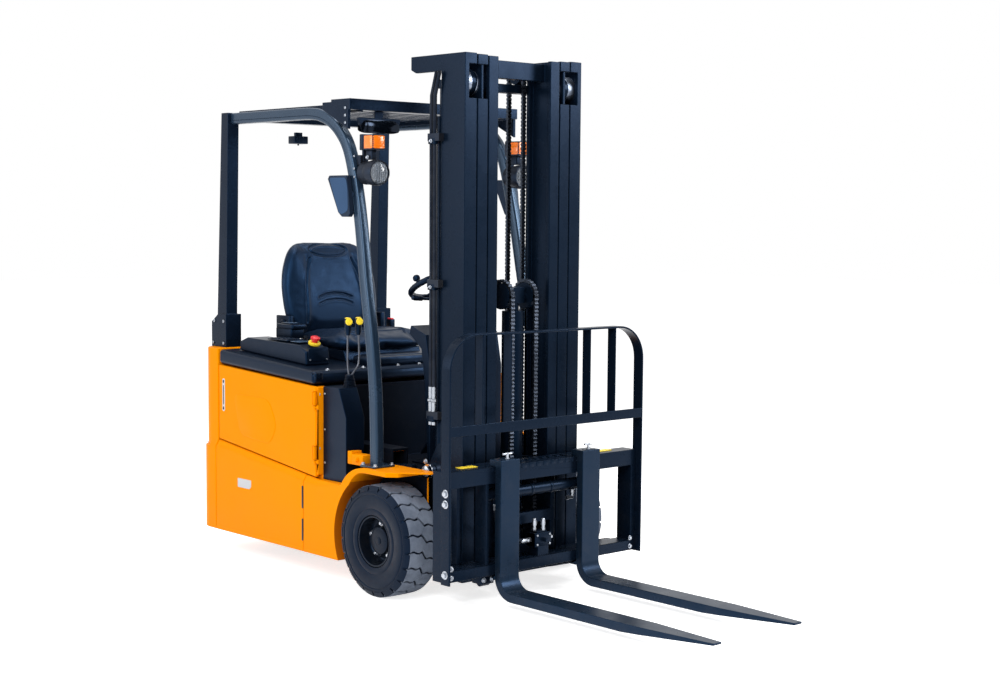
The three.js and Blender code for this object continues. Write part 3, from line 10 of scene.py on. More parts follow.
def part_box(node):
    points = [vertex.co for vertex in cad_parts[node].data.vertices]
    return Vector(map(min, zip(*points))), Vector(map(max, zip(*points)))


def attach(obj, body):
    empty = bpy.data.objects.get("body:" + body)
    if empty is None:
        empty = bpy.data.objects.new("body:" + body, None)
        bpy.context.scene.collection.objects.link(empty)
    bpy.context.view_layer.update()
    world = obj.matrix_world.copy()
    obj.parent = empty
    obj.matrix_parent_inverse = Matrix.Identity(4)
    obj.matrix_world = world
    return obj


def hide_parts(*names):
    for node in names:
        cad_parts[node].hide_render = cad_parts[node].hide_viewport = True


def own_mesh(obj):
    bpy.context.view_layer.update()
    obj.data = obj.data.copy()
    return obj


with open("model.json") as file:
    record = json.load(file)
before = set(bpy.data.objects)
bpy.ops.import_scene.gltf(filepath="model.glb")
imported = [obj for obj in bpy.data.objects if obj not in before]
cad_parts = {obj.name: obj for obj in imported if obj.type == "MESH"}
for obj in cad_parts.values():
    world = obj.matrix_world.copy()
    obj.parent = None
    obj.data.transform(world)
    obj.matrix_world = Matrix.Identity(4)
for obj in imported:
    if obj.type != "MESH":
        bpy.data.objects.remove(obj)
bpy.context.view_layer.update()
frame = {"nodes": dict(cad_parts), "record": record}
NODES = frame["nodes"]
BODIES = frame["record"]["behaviour"]["bodies"]
BODY_OF = {node: body for body, nodes in BODIES.items() for node in nodes}

MM = 0.001
SIGNS = (-1, 1)
SIDES = (("right", -1), ("left", 1))
X, Y, Z = Vector((1, 0, 0)), Vector((0, 1, 0)), Vector((0, 0, 1))
FRONT_AXLE_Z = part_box("front_tyre_right")[1].z / 2
AXLE_X = sum(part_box("front_tyre_right")[i].x for i in (0, 1)) / 2


def P(x, y, z):
    """A point measured in millimetres from the front axle, as a point of the model's frame."""
    return Vector((AXLE_X + x * MM, y * MM, z * MM))


# ---------------------------------------------------------------- camera
CAMERA_AT = (5233.5, -4593.7, 1533.6)
CAMERA_LENS, CAMERA_SENSOR = 59.91, 36.0
YAW, PITCH, ROLL = math.radians(137.902), math.radians(4.588), 0.008


def place_camera():
    look = Vector((math.cos(YAW) * math.cos(PITCH), math.sin(YAW) * math.cos(PITCH), -math.sin(PITCH)))
    level = Vector((math.sin(YAW), -math.cos(YAW), 0))
    upright = level.cross(look)
    right = level * math.cos(ROLL) + upright * math.sin(ROLL)
    up = upright * math.cos(ROLL) - level * math.sin(ROLL)
    camera = bpy.data.objects.new("camera", bpy.data.cameras.new("camera"))
    camera.data.lens, camera.data.sensor_width = CAMERA_LENS, CAMERA_SENSOR
    camera.data.clip_end = 100
    turn = Matrix((right, up, -look)).transposed().to_4x4()
    camera.matrix_world = Matrix.Translation(P(*CAMERA_AT)) @ turn
    bpy.context.scene.collection.objects.link(camera)
    bpy.context.scene.camera = camera


place_camera()


# ---------------------------------------------------------------- materials
class Shader:
    """A principled material with helpers for the procedural nodes on it."""

    def __init__(self, name):
        self.mat = bpy.data.materials.new(name)
        self.mat.use_nodes = True
        self.tree = self.mat.node_tree
        self.bsdf = self.tree.nodes["Principled BSDF"]
        self.where = self.tree.nodes.new("ShaderNodeTexCoord").outputs["Object"]

    def node(self, kind, **values):
        n = self.tree.nodes.new(kind)
        for key, value in values.items():
            if hasattr(n, key):
                setattr(n, key, value)
            else:
                n.inputs[key.replace("_", " ")].default_value = value
        return n

    def link(self, a, b):
        self.tree.links.new(a, b)

    def noise(self, scale, detail=3.0, rough=0.55, stretch=None):
        n = self.node("ShaderNodeTexNoise", Scale=scale, Detail=detail, Roughness=rough)
        vector = self.where
        if stretch:
            m = self.node("ShaderNodeMapping", Scale=stretch)
            self.link(self.where, m.inputs["Vector"])
            vector = m.outputs["Vector"]
        self.link(vector, n.inputs["Vector"])
        return n.outputs["Fac"]

    def cells(self, scale, feature="F1"):
        n = self.node("ShaderNodeTexVoronoi", feature=feature, Scale=scale)
        self.link(self.where, n.inputs["Vector"])
        return n.outputs["Distance"]

    def mapped(self, value, low, high, to_low, to_high):
        n = self.node("ShaderNodeMapRange", From_Min=low, From_Max=high, To_Min=to_low, To_Max=to_high)
        self.link(value, n.inputs["Value"])
        return n.outputs["Result"]

    def mix(self, factor, a, b):
        n = self.tree.nodes.new("ShaderNodeMix")
        n.data_type = "RGBA"
        self.link(factor, n.inputs[0])
        for socket, value in ((n.inputs[6], a), (n.inputs[7], b)):
            if isinstance(value, tuple):
                socket.default_value = (*value, 1)
            else:
                self.link(value, socket)
        return n.outputs[2]

    def maths(self, a, b, operation="MULTIPLY"):
        n = self.node("ShaderNodeMath", operation=operation)
        for socket, value in ((n.inputs[0], a), (n.inputs[1], b)):
            if isinstance(value, (int, float)):
                socket.default_value = value
            else:
                self.link(value, socket)
        return n.outputs[0]

    def height(self):
        n = self.tree.nodes.new("ShaderNodeSeparateXYZ")
        self.link(self.where, n.inputs[0])
        return n.outputs["Z"]

    def colour(self, value):
        self.link(value, self.bsdf.inputs["Base Color"])

    def roughness(self, value, low, high):
        """Roughness that wanders between low and high."""
        self.link(self.mapped(value, 0.3, 0.7, low, high), self.bsdf.inputs["Roughness"])

    def bump(self, value, distance, strength=0.5):
        n = self.node("ShaderNodeBump", Strength=strength, Distance=distance)
        self.link(value, n.inputs["Height"])
        self.link(n.outputs["Normal"], self.bsdf.inputs["Normal"])

    def set(self, **values):
        for key, value in values.items():
            self.bsdf.inputs[key.replace("_", " ")].default_value = value


def shade(colour, factor):
    return tuple(c * factor for c in colour)


NEUTRAL, BLUE_SHEEN = (1, 1, 1, 1), (0.14, 0.42, 1.0, 1)
ROAD_DUST = (0.16, 0.13, 0.10)


def enamel(name, colour, rough=0.3, coat=0.0, dust=0.04, spread=0.12, gloss=0.13, tint=BLUE_SHEEN):
    """Sprayed paint: orange peel, slow colour drift, a little handling dust low down."""
    s = Shader(name)
    drift = s.mix(s.noise(2.2), shade(colour, 1 - spread), shade(colour, 1 + spread))
    patches = s.mapped(s.noise(14, 6, 0.7), 0.45, 0.8, 0, 1)
    grime = s.maths(patches, s.mapped(s.height(), 0.0, 0.9, dust, dust * 0.2))
    s.colour(s.mix(grime, drift, ROAD_DUST))
    s.link(s.mapped(s.noise(9, 5, 0.6), 0.3, 0.75, rough * 0.8, rough * 1.25), s.bsdf.inputs["Roughness"])
    s.bump(s.noise(420, 2), 0.00004, 0.6)
    s.set(Coat_Weight=coat, Coat_Roughness=0.12, Specular_IOR_Level=gloss, Specular_Tint=tint)
    return s.mat


def moulding(name, colour, rough=0.5, grain=650.0, depth=0.00012, coat=0.0, tint=BLUE_SHEEN):
    """Moulded plastic with a fine leather-like grain."""
    s = Shader(name)
    s.colour(s.mix(s.noise(5, 4), shade(colour, 0.82), shade(colour, 1.2)))
    s.roughness(s.noise(30, 4), rough * 0.88, rough * 1.12)
    s.bump(s.maths(s.cells(grain), s.noise(grain * 0.7, 2), "ADD"), depth)
    s.set(Coat_Weight=coat, Coat_Roughness=0.25, Specular_IOR_Level=0.26, Specular_Tint=tint)
    return s.mat


def metal(name, colour, rough=0.3, stretch=(1, 1, 12), scale=220.0, stain=(0.05, 0.045, 0.04), stained=0.2):
    """Machined or plated steel: tool marks, a few dull stains."""
    s = Shader(name)
    spots = s.mapped(s.noise(26, 7, 0.72), 0.5, 0.75, 0, stained)
    s.colour(s.mix(spots, s.mix(s.noise(7), shade(colour, 0.86), shade(colour, 1.1)), stain))
    marks = s.noise(scale, 3, 0.6, stretch)
    s.roughness(marks, rough * 0.75, rough * 1.35)
    s.bump(marks, 0.00003)
    s.set(Metallic=1.0)
    return s.mat


def rubber(name, colour, rough, dusty, dust=(0.11, 0.115, 0.125)):
    """Black rubber with mould bloom and pale dust."""
    s = Shader(name)
    bloom = s.mapped(s.noise(11, 6, 0.68), 0.4, 0.72, 0, dusty)
    s.colour(s.mix(bloom, s.mix(s.noise(60, 3), shade(colour, 0.8), shade(colour, 1.2)), dust))
    s.roughness(s.noise(40, 5), rough * 0.88, rough * 1.15)
    s.bump(s.noise(380, 4, 0.7), 0.00025)
    s.set(Specular_IOR_Level=0.2, Specular_Tint=BLUE_SHEEN)
    return s.mat


def vinyl(name, colour):
    """Embossed black upholstery vinyl: pebbled cells with faint creases."""
    s = Shader(name)
    s.colour(s.mix(s.noise(6, 4), shade(colour, 0.8), shade(colour, 1.25)))
    s.roughness(s.noise(24, 4), 0.34, 0.46)
    pebble = s.cells(520, "SMOOTH_F1")
    s.bump(s.maths(pebble, s.maths(s.noise(70, 5, 0.65), 0.5), "ADD"), 0.00035, 0.35)
    s.set(Specular_IOR_Level=0.36, Specular_Tint=BLUE_SHEEN)
    return s.mat


def cast(name, colour, rough=0.6):
    """Sand casting under thin paint."""
    s = Shader(name)
    s.colour(s.mix(s.noise(18, 6, 0.7), shade(colour, 0.7), shade(colour, 1.35)))
    s.roughness(s.noise(90, 4), rough * 0.85, rough * 1.15)
    s.bump(s.noise(260, 6, 0.75), 0.0006)
    s.set(Metallic=0.25)
    return s.mat


def lens(name, colour, rough, painted_glow, through):
    """Tinted clear moulding over a bright reflector; any glow is a painted glow, an emission in the lens
    colour.
    """
    s = Shader(name)
    s.colour(s.mix(s.noise(90, 2), shade(colour, 0.85), shade(colour, 1.1)))
    s.bump(s.noise(160, 2), 0.0002, 0.4)
    s.set(Roughness=rough, Transmission_Weight=through, IOR=1.49, Coat_Weight=0.5)
    if painted_glow:
        s.set(Emission_Color=(*colour, 1), Emission_Strength=painted_glow)
    return s.mat


def mirror_glass(name, colour):
    """Mirror glass whose dark, tinted colour is a painted reflection, standing in for what the mirror shows;
    slightly smeared.
    """
    s = Shader(name)
    s.colour(s.mix(s.noise(4, 2), shade(colour, 0.75), shade(colour, 1.2)))
    s.roughness(s.noise(8, 4), 0.06, 0.14)
    s.set(Metallic=0.85)
    return s.mat


M = {
    "body_paint": enamel("paint_yellow", (0.84, 0.255, 0.0), 0.40, spread=0.05, dust=0.012, gloss=0.06,
                         tint=(1, 0.55, 0.03, 1)),
    # painted shade: a darker orange for the underside of the wings round the front wheels
    "arch_painted_shade": enamel("paint_yellow_painted_shade", (0.42, 0.10, 0.002), 0.5, gloss=0.15, tint=(1, 0.6, 0.2, 1)),
    "mast_paint": enamel("paint_mast", (0.0025, 0.006, 0.013), 0.28),
    "guard_paint": enamel("paint_guard", (0.0025, 0.0055, 0.012), 0.27, gloss=0.22),
    # painted highlight: the guard's paint made lighter for the front legs, standing in for the sheen along
    # them
    "leg_painted_highlight": enamel("paint_leg_painted_highlight", (0.011, 0.022, 0.040), 0.26, 0.14, gloss=0.6, tint=(0.32, 0.6, 1.0, 1)),
    "well_paint": enamel("paint_well", (0.0025, 0.0035, 0.006), 0.55, gloss=0.1, dust=0.05),
    "fork_paint": enamel("paint_fork", (0.004, 0.010, 0.020), 0.3, dust=0.06, gloss=0.24),
    "wheel_paint": enamel("paint_wheel", (0.003, 0.005, 0.009), 0.3, 0.05, dust=0.06),
    "cast_parts": cast("cast_iron", (0.030, 0.038, 0.052)),
    "battery_case": cast("battery_case", (0.035, 0.038, 0.045), 0.5),
    "tyre_rubber": rubber("rubber_side", (0.003, 0.004, 0.007), 0.46, 0.08, (0.03, 0.035, 0.05)),
    "tread_rubber": rubber("rubber_tread", (0.110, 0.130, 0.170), 0.68, 0.7, (0.23, 0.265, 0.33)),
    "hood_plastic": moulding("plastic_hood", (0.002, 0.0045, 0.010), 0.36),
    "lever_plastic": moulding("plastic_black", (0.002, 0.0035, 0.007), 0.36, 800),
    "seat_vinyl": vinyl("vinyl_seat", (0.003, 0.007, 0.016)),
    "lamp_housing": moulding("plastic_lamp", (0.012, 0.013, 0.016), 0.4, 800),
    "mirror_shell": moulding("plastic_mirror", (0.010, 0.015, 0.026), 0.38, 700),
    "rod_steel": metal("steel_rod", (0.11, 0.12, 0.145), 0.36, stained=0.3),
    "ram_chrome": metal("steel_chrome", (0.72, 0.74, 0.78), 0.1, stained=0.05),
    "chain_steel": metal("steel_chain", (0.045, 0.055, 0.075), 0.42, stained=0.5, stain=(0.02, 0.018, 0.015)),
    "hose_rubber": rubber("rubber_hose", (0.010, 0.011, 0.014), 0.38, 0.15),
    "zinc": metal("steel_zinc", (0.40, 0.43, 0.48), 0.3, (1, 1, 1), 150, stained=0.25),
    "roller_steel": metal("steel_roller", (0.20, 0.235, 0.30), 0.36, (1, 12, 1), 120, stained=0.3),
    # painted glow: the amber lens is given a faint emission of its own
    "amber": lens("lens_amber", (0.95, 0.22, 0.01), 0.12, 0.25, 0.25),
    "clear": lens("lens_clear", (0.40, 0.46, 0.54), 0.1, 0.0, 0.7),
    # painted reflection: the mirror faces get dark blue tints in place of the scene they reflect, with the
    # centre mirror darkest
    "mirror": mirror_glass("mirror_face_painted_reflection", (0.045, 0.10, 0.21)),
    "cabin_mirror_painted_reflection": mirror_glass("mirror_cabin_painted_reflection", (0.010, 0.016, 0.028)),
    "red": moulding("plastic_red", (0.62, 0.015, 0.022), 0.35, 900, coat=0.2, tint=NEUTRAL),
    "yellow": moulding("plastic_yellow", (0.85, 0.62, 0.03), 0.38, 900, coat=0.1, tint=NEUTRAL),
    "plate": enamel("plate_grey", (0.52, 0.54, 0.57), 0.42, 0.1, spread=0.06, tint=NEUTRAL),
    "screen": moulding("plastic_screen", (0.05, 0.09, 0.15), 0.16, 300, 0.00002, coat=0.6),
}


# ---------------------------------------------------------------- mesh tools
def link_object(name, data):
    ob = bpy.data.objects.new(name, data)
    bpy.context.scene.collection.objects.link(ob)
    return ob


def baked(ob):
    """The object with its modifiers applied to its mesh."""
    depsgraph = bpy.context.evaluated_depsgraph_get()
    mesh = bpy.data.meshes.new_from_object(ob.evaluated_get(depsgraph))
    ob.modifiers.clear()
    ob.data = mesh
    return ob


def soften(ob, bevel, segments, angle):
    """Rounds every edge sharper than angle and leaves the flats flat."""
    if bevel:
        m = ob.modifiers.new("bevel", "BEVEL")
        m.limit_method, m.angle_limit = "ANGLE", math.radians(angle)
        m.width, m.segments = bevel * MM, segments
        m.use_clamp_overlap = False
        m.miter_outer = "MITER_SHARP"
    w = ob.modifiers.new("normals", "WEIGHTED_NORMAL")
    w.keep_sharp = not bevel
    return baked(ob)


def smooth_below(bm, angle):
    """Smooth faces that meet at less than angle, in degrees, with sharper edges left sharp."""
    for f in bm.faces:
        f.smooth = True
    for e in bm.edges:
        e.smooth = len(e.link_faces) == 2 and e.calc_face_angle(0) < math.radians(angle)


ARCH_RADIUS = 0.2705
WELL_LOW, WELL_HIGH = P(-436, -372, 150), P(120, 372, 815)


def shade_arch(ob):
    """The underside of a wing, round the wheel, is given a darker orange: painted shade inside the wheel
    arch.
    """
    ob.data.materials.append(M["arch_painted_shade"])
    for p in ob.data.polygons:
        dx, dz = p.center.x - AXLE_X, p.center.z - FRONT_AXLE_Z
        if math.hypot(dx, dz) < ARCH_RADIUS and abs(p.normal.y) < 0.6:
            p.material_index = 1


def shade_well(ob):
    """The driver's foot well inside the frame is black."""
    ob.data.materials.append(M["well_paint"])
    for p in ob.data.polygons:
        inside = all(low < c < high for low, c, high in zip(WELL_LOW, p.center, WELL_HIGH))
        if inside and p.normal.z > -0.5:
            p.material_index = 1


def refine(node, material, bevel, segments, merge, angle=32.0):
    """The CAD shape with softened edges, in place of the node."""
    bm = bmesh.new()
    bm.from_mesh(NODES[node].data)
    bmesh.ops.remove_doubles(bm, verts=bm.verts, dist=2e-5)
    if merge:
        bmesh.ops.dissolve_limit(
            bm, angle_limit=math.radians(merge), verts=bm.verts, edges=bm.edges, use_dissolve_boundaries=False
        )
    smooth_below(bm, angle)
    mesh = bpy.data.meshes.new(node)
    bm.to_mesh(mesh)
    bm.free()
    ob = link_object(node + "_skin", mesh)
    ob.data.materials.clear()
    ob.data.materials.append(M[material])
    soften(ob, bevel, segments, angle)
    low, high = (np.array(v, float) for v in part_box(node))
    co = np.zeros(len(ob.data.vertices) * 3)
    ob.data.vertices.foreach_get("co", co)
    ob.data.vertices.foreach_set("co", np.clip(co.reshape(-1, 3), low, high).ravel())
    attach(ob, BODY_OF[node])
    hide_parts(node)
    return ob


# ---------------------------------------------------------------- loose geometry
def basis(axis):
    """Three unit vectors with the last one along axis."""
    w = Vector(axis).normalized()
    u = Z if abs(w.z) < 0.9 else X
    u = (u - w * u.dot(w)).normalized()
    return u, w.cross(u), w


def rounded(half_u, half_v, corner, steps=4):
    """Outline of a rectangle with round corners, about its middle."""
    corner = min(corner, half_u - 0.01, half_v - 0.01)
    outline = []
    for k, (su, sv) in enumerate(((1, 1), (-1, 1), (-1, -1), (1, -1))):
        for i in range(steps + 1):
            a = math.pi / 2 * (k + i / steps)
            outline.append((
                su * (half_u - corner) + corner * math.cos(a),
                sv * (half_v - corner) + corner * math.sin(a),
            ))
    return outline


def inset(outline, d):
    """A counter-clockwise outline moved inwards by d."""
    moved = []
    n = len(outline)
    for i, (x, y) in enumerate(outline):
        ax, ay = x - outline[i - 1][0], y - outline[i - 1][1]
        bx, by = outline[(i + 1) % n][0] - x, outline[(i + 1) % n][1] - y
        la, lb = math.hypot(ax, ay) or 1, math.hypot(bx, by) or 1
        nx, ny = -ay / la - by / lb, ax / la + bx / lb
        length = nx * nx + ny * ny
        k = 2 * d / length if length > 0.2 else d
        moved.append((x + nx * k, y + ny * k))
    return moved


def filleted(points, radius, steps=5):
    """The outline with its corners cut to arcs."""
    out = []
    n = len(points)
    for i, p in enumerate(points):
        p = Vector(p)
        a, b = Vector(points[i - 1]) - p, Vector(points[(i + 1) % n]) - p
        reach = min(radius, a.length * 0.45, b.length * 0.45)
        start, end = p + a.normalized() * reach, p + b.normalized() * reach
        for k in range(steps + 1):
            t = k / steps
            q = start * (1 - t) ** 2 + p * 2 * t * (1 - t) + end * t * t
            out.append((q.x, q.y))
    return out


def smooth_path(points, per_span=8):
    """Centripetal Catmull-Rom curve through the points."""
    pts = [Vector(p) for p in points]
    pts = [pts[0] * 2 - pts[1]] + pts + [pts[-1] * 2 - pts[-2]]
    out = []
    for i in range(1, len(pts) - 2):
        p = pts[i - 1:i + 3]
        t = [0.0]
        for a, b in zip(p, p[1:]):
            t.append(t[-1] + max((b - a).length, 1e-6) ** 0.5)
        for k in range(per_span):
            u = t[1] + (t[2] - t[1]) * k / per_span
            level = list(p)
            for width in (1, 2, 3):
                level = [
                    (level[j] * (t[j + width] - u) + level[j + 1] * (u - t[j])) / (t[j + width] - t[j])
                    for j in range(4 - width)
                ]
            out.append(level[0])
    return out + [pts[-2]]


class Kit:
    """Loose geometry in millimetres from the front axle, gathered into one mesh."""

    def __init__(self):
        self.verts, self.faces = [], []

    def add(self, verts, faces):
        start = len(self.verts)
        self.verts.extend(verts)
        self.faces.extend([tuple(start + i for i in f) for f in faces])
        return self

    def loft(self, rings, caps=True, loop=False):
        n = len(rings[0])
        verts = [v for ring in rings for v in ring]
        count = len(rings)
        faces = []
        for j in range(count if loop else count - 1):
            a, b = j * n, (j + 1) % count * n
            faces += [(a + i, a + (i + 1) % n, b + (i + 1) % n, b + i) for i in range(n)]
        if caps and not loop:
            faces += [tuple(reversed(range(n))), tuple(range((count - 1) * n, count * n))]
        return self.add(verts, faces)

    def lathe(self, profile, origin, axis, n=24, loop=False, caps=True):
        u, v, w = basis(axis)
        rings = []
        for r, h in profile:
            r = max(r, 0.01)
            rings.append([
                Vector(origin) + (u * math.cos(a) + v * math.sin(a)) * r + w * h
                for a in (2 * math.pi * i / n for i in range(n))
            ])
        return self.loft(rings, caps, loop)

    def tube(self, points, radius, n=12, profile=None, up=None):
        """Sweeps a circle, or an outline across (side, up), along the points."""
        pts = [Vector(p) for p in points]
        shape = profile or [
            (radius * math.cos(2 * math.pi * i / n), radius * math.sin(2 * math.pi * i / n)) for i in range(n)
        ]
        u = None
        rings = []
        for i, p in enumerate(pts):
            t = (pts[min(i + 1, len(pts) - 1)] - pts[max(i - 1, 0)]).normalized()
            if up is not None:
                u = Vector(up)
            elif u is None:
                u = basis(t)[0]
            u = (u - t * u.dot(t)).normalized()
            v = t.cross(u)
            rings.append([p + u * a + v * b for a, b in shape])
        return self.loft(rings)

    def slab(self, origin, axes, outline, depth, edge=1.0, steps=2):
        """An outline raised by depth along the third axis, its far rim rounded."""
        u, v, w = (Vector(a) for a in axes)
        rings = []
        levels = [(0, 0.0)]
        for k in range(steps + 1):
            turn = math.pi / 2 * k / steps
            levels.append((depth - edge + edge * math.sin(turn), edge * (1 - math.cos(turn))))
        for level, d in levels:
            rings.append([Vector(origin) + u * a + v * b + w * level for a, b in inset(outline, d)])
        return self.loft(rings)

    def brick(self, low, high, corner=3.0, edge=1.5):
        """A block with rounded edges, standing along z."""
        low, high = Vector(low), Vector(high)
        mid, half = (low + high) / 2, (high - low) / 2
        rings = []
        shape = rounded(half.x, half.y, corner)
        height = 2 * half.z
        for level, d in ((0, edge), (edge * 0.3, edge * 0.3), (edge, 0), (height - edge, 0),
                         (height - edge * 0.3, edge * 0.3), (height, edge)):
            rings.append([Vector((mid.x + a, mid.y + b, low.z + level)) for a, b in inset(shape, d)])
        return self.loft(rings)

    def bolt(self, at, axis, size=13.0, head=8.0, washer=True):
        """Hexagon head with a domed top, on a washer."""
        at, w = Vector(at), Vector(axis).normalized()
        base = 0.0
        if washer:
            inner, outer, rim = size * 0.5, size * 0.86, size * 0.8
            self.lathe([(inner, 0), (outer, 0), (outer, 1.6), (rim, 2.2), (inner, 2.2)], at, w, 20)
            base = 2.0
        u, v, _ = basis(axis)
        rings = []
        for r, h in ((0.56, 0.0), (0.58, 0.12), (0.58, 0.82), (0.5, 1.0), (0.30, 1.04)):
            rings.append([
                at + (u * math.cos(a) + v * math.sin(a)) * (size * r) + w * (base + head * h)
                for a in (math.pi / 3 * i for i in range(6))
            ])
        return self.loft(rings)

    def cap_screw(self, at, axis, size=10.0, head=5.0):
        """Round head with a round socket sunk in its top."""
        r = size / 2
        return self.lathe([(r * 0.9, 0), (r, 0.6), (r, head - 1), (r * 0.85, head), (r * 0.5, head),
                           (r * 0.46, head * 0.45), (0, head * 0.4)], at, axis, 18)

    def object(self, name, material, angle=34.0):
        mesh = bpy.data.meshes.new(name)
        mesh.from_pydata([(AXLE_X + v[0] * MM, v[1] * MM, v[2] * MM) for v in self.verts], [], self.faces)
        bm = bmesh.new()
        bm.from_mesh(mesh)
        bmesh.ops.recalc_face_normals(bm, faces=bm.faces)
        smooth_below(bm, angle)
        bm.to_mesh(mesh)
        bm.free()
        mesh.materials.append(M[material])
        return link_object(name, mesh)

    def make(self, name, material, body, replaces=(), slot=None, **how):
        ob = self.object(name, material, **how)
        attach(ob, body)
        if replaces:
            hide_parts(*replaces)
        return ob


# ---------------------------------------------------------------- side-shift hose
HOSE_DIAMETER = 14.0
HOSE_ROUTE = [
    (393, -45.3, 233), (393, -62, 233), (394, -84, 235), (396, -110, 239),
    (398, -140, 247), (399, -170, 259), (399, -198, 276), (398, -220, 298),
    (397, -233, 324), (395, -237, 350), (392, -236, 382), (392, -236, 399.6),
]
hose_line = smooth_path(HOSE_ROUTE)
hose = Kit().tube(hose_line, HOSE_DIAMETER / 2, 20).make(
    "shift_hose", "hose_rubber", "side_shift_frame", ["side_shift_hose"])

# ---------------------------------------------------------------- tyres and wheels
def tyre(name, node, body, centre, radius, width, rim, pitches):
    """Solid tyre: a turned carcass with ribbed walls, two rows of interlocking blocks and shoulder lugs."""
    cx, cy, cz = centre
    out = 1 if cy > 0 else -1
    half = width / 2
    k = half / 85.0
    floor_r = radius - 12
    wall = [
        (rim, half - 12 * k), (rim + 3, half - 4), (rim + 14, half - 1), (rim + 24, half - 0.5),
        (rim + 29, half - 2.5), (rim + 33, half - 0.5), (rim + (radius - rim) * 0.62, half),
        (radius - 42 * k, half - 1), (radius - 38 * k, half - 3), (radius - 34 * k, half - 0.5),
        (radius - 25 * k, half - 1.5), (floor_r - 3, half - 9 * k), (floor_r, half - 16 * k),
    ]
    profile = wall + [(r, -h) for r, h in reversed(wall)]
    side = Kit().lathe([(r, h * out) for r, h in profile], (cx, cy, cz), Y, 120, loop=True)

    def bent(s, y, r):
        a = s / radius
        return Vector((cx + r * math.sin(a), cy + y * out, cz + r * math.cos(a)))

    p = 2 * math.pi * radius / pitches
    edge_y, root, tip = half - 13 * k, 14 * k, -15 * k
    inner, reach = tip + 3.2 * k, edge_y - tip - 3.2 * k
    groove, sipe, chamfer = 4.2 * k, 1.5 * k, 1.3
    rows, columns = 11, 7

    def span(y):
        """Limits of a block along the tread at distance y from the middle."""
        if y > root:
            w = 5.0 * k * math.sin((y - root) / (edge_y - root) * 2 * math.pi)
            return -p / 2 + w + groove, p / 2 + w - groove
        t = (y - tip) / (root - tip)
        apex = 0.12 * p
        return apex + (-p / 2 - apex) * t + sipe * 3, apex + (p / 2 - apex) * t - sipe * 3

    def crown(y):
        return radius - 3.0 * (abs(y) / half) ** 3

    def grid(pull):
        """Rows of points on a block's face, drawn in by pull all round."""
        points = []
        for j in range(rows):
            y = inner + reach * j / (rows - 1)
            a, b = span(y)
            a, b = a + pull, b - pull
            if b - a < 3:
                a = b = (a + b) / 2
                a, b = a - 1.5, b + 1.5
            y = min(max(y, inner + pull), edge_y - pull)
            points.append([(a + (b - a) * i / (columns - 1), y) for i in range(columns)])
        return points

    def rim_of(g):
        return g[0][:-1] + [r[-1] for r in g[:-1]] + g[-1][:0:-1] + [r[0] for r in g[:0:-1]]

    top, outline = grid(chamfer), rim_of(grid(0))
    face = [q for line in top for q in line]
    index = {q: i for i, q in enumerate(face)}
    ring = [index[q] for q in rim_of(top)]
    start, count = len(face), len(ring)
    faces = [
        (j * columns + i, j * columns + i + 1, (j + 1) * columns + i + 1, (j + 1) * columns + i)
        for j in range(rows - 1) for i in range(columns - 1)
    ]
    for i in range(count):
        m = (i + 1) % count
        faces.append((ring[i], ring[m], start + m, start + i))
        faces.append((start + i, start + m, start + count + m, start + count + i))
    faces.append(tuple(range(start + count, start + 2 * count)))
    lug = [
        (edge_y + 0.8, floor_r - 3), (edge_y + 0.8, crown(edge_y) - 1.2),
        (edge_y + 2, crown(edge_y) - 1.6), (half - 0.6, radius - 21 * k),
        (half - 0.2, radius - 24 * k), (half - 5 * k, radius - 27 * k),
    ]
    tread = Kit()
    for row in (1, -1):
        for n in range(pitches):
            s0 = n * p + (0 if row > 0 else p / 2)
            verts = [bent(s0 + s * row, y * row, crown(y)) for s, y in face]
            verts += [bent(s0 + s * row, y * row, crown(y) - chamfer) for s, y in outline]
            verts += [bent(s0 + s * row, y * row, floor_r - 1.5) for s, y in outline]
            tread.add(verts, faces)
            lugs = []
            for i in range(6):
                s = s0 + (-p / 2 + groove * 1.3 + (p - groove * 2.6) * i / 5) * row
                lugs.append([bent(s, y * row, r) for y, r in lug])
            side.loft(lugs)
    side.make(name + "_carcass", "tyre_rubber", body, [node], "tyre_rubber")
    tread.make(name + "_tread", "tread_rubber", body, (), "tyre_rubber", angle=25)


FRONT = {"radius": 228.0, "width": 170.0, "rim": 104.0, "y": 461.0, "x": 0, "pitches": 21}
REAR = {"radius": 165.0, "width": 110.0, "rim": 72.0, "y": 75.0, "x": -1060.0, "pitches": 19}
NUTS, NUT_CIRCLE, WHEEL_FACE = 5, 69.0, 446.0
DISH = (
    (104, 84), (110, 95), (122, 97.5), (126, 96), (127, 92), (121, 93), (108, 90), (100, 82), (96, 62),
    (91, 46), (84, 38), (78, 36), (60, 36), (58, 40), (57, 62), (54, 68), (46, 70.5), (20, 71), (0, 71),
)
for side, s in SIDES:
    for end, t, body in (("front_", FRONT, "front_wheel_" + side), ("rear_", REAR, "rear_wheels")):
        middle = (t["x"], s * t["y"], t["radius"])
        tyre(end + side, end + "tyre_" + side, body, middle, t["radius"], t["width"], t["rim"], t["pitches"])
    hub = Vector((0, s * WHEEL_FACE, FRONT["radius"]))
    out = Y * s
    dish = Kit().lathe(DISH, hub, out, 72, caps=False)
    dish.lathe([(16, 70), (16, 72.5), (14, 73.5), (0, 73.5)], hub, out, 24)
    dish.make("rim_dish_" + side, "wheel_paint", "front_wheel_" + side, (), "wheel_paint")
    nuts = Kit()
    for i in range(NUTS):
        a = 2 * math.pi * (i + 0.28) / NUTS
        at = hub + Vector((math.cos(a), 0, math.sin(a))) * NUT_CIRCLE + out * 36
        nuts.lathe([(15, 0), (17, 1), (16, 4), (12, 6)], at, out, 24)
        nuts.bolt(at + out * 4, out, 23, 15, washer=False)
        nuts.lathe([(7, 0), (7, 24), (5.5, 26), (0, 26)], at, out, 16)
    nuts.make("wheel_nuts_" + side, "zinc", "front_wheel_" + side)


# ---------------------------------------------------------------- leaf chains
PITCH, LEAVES, LEAF, LEAF_STEP, LINK_RADIUS = 15.875, 9, 1.9, 2.15, 7.3


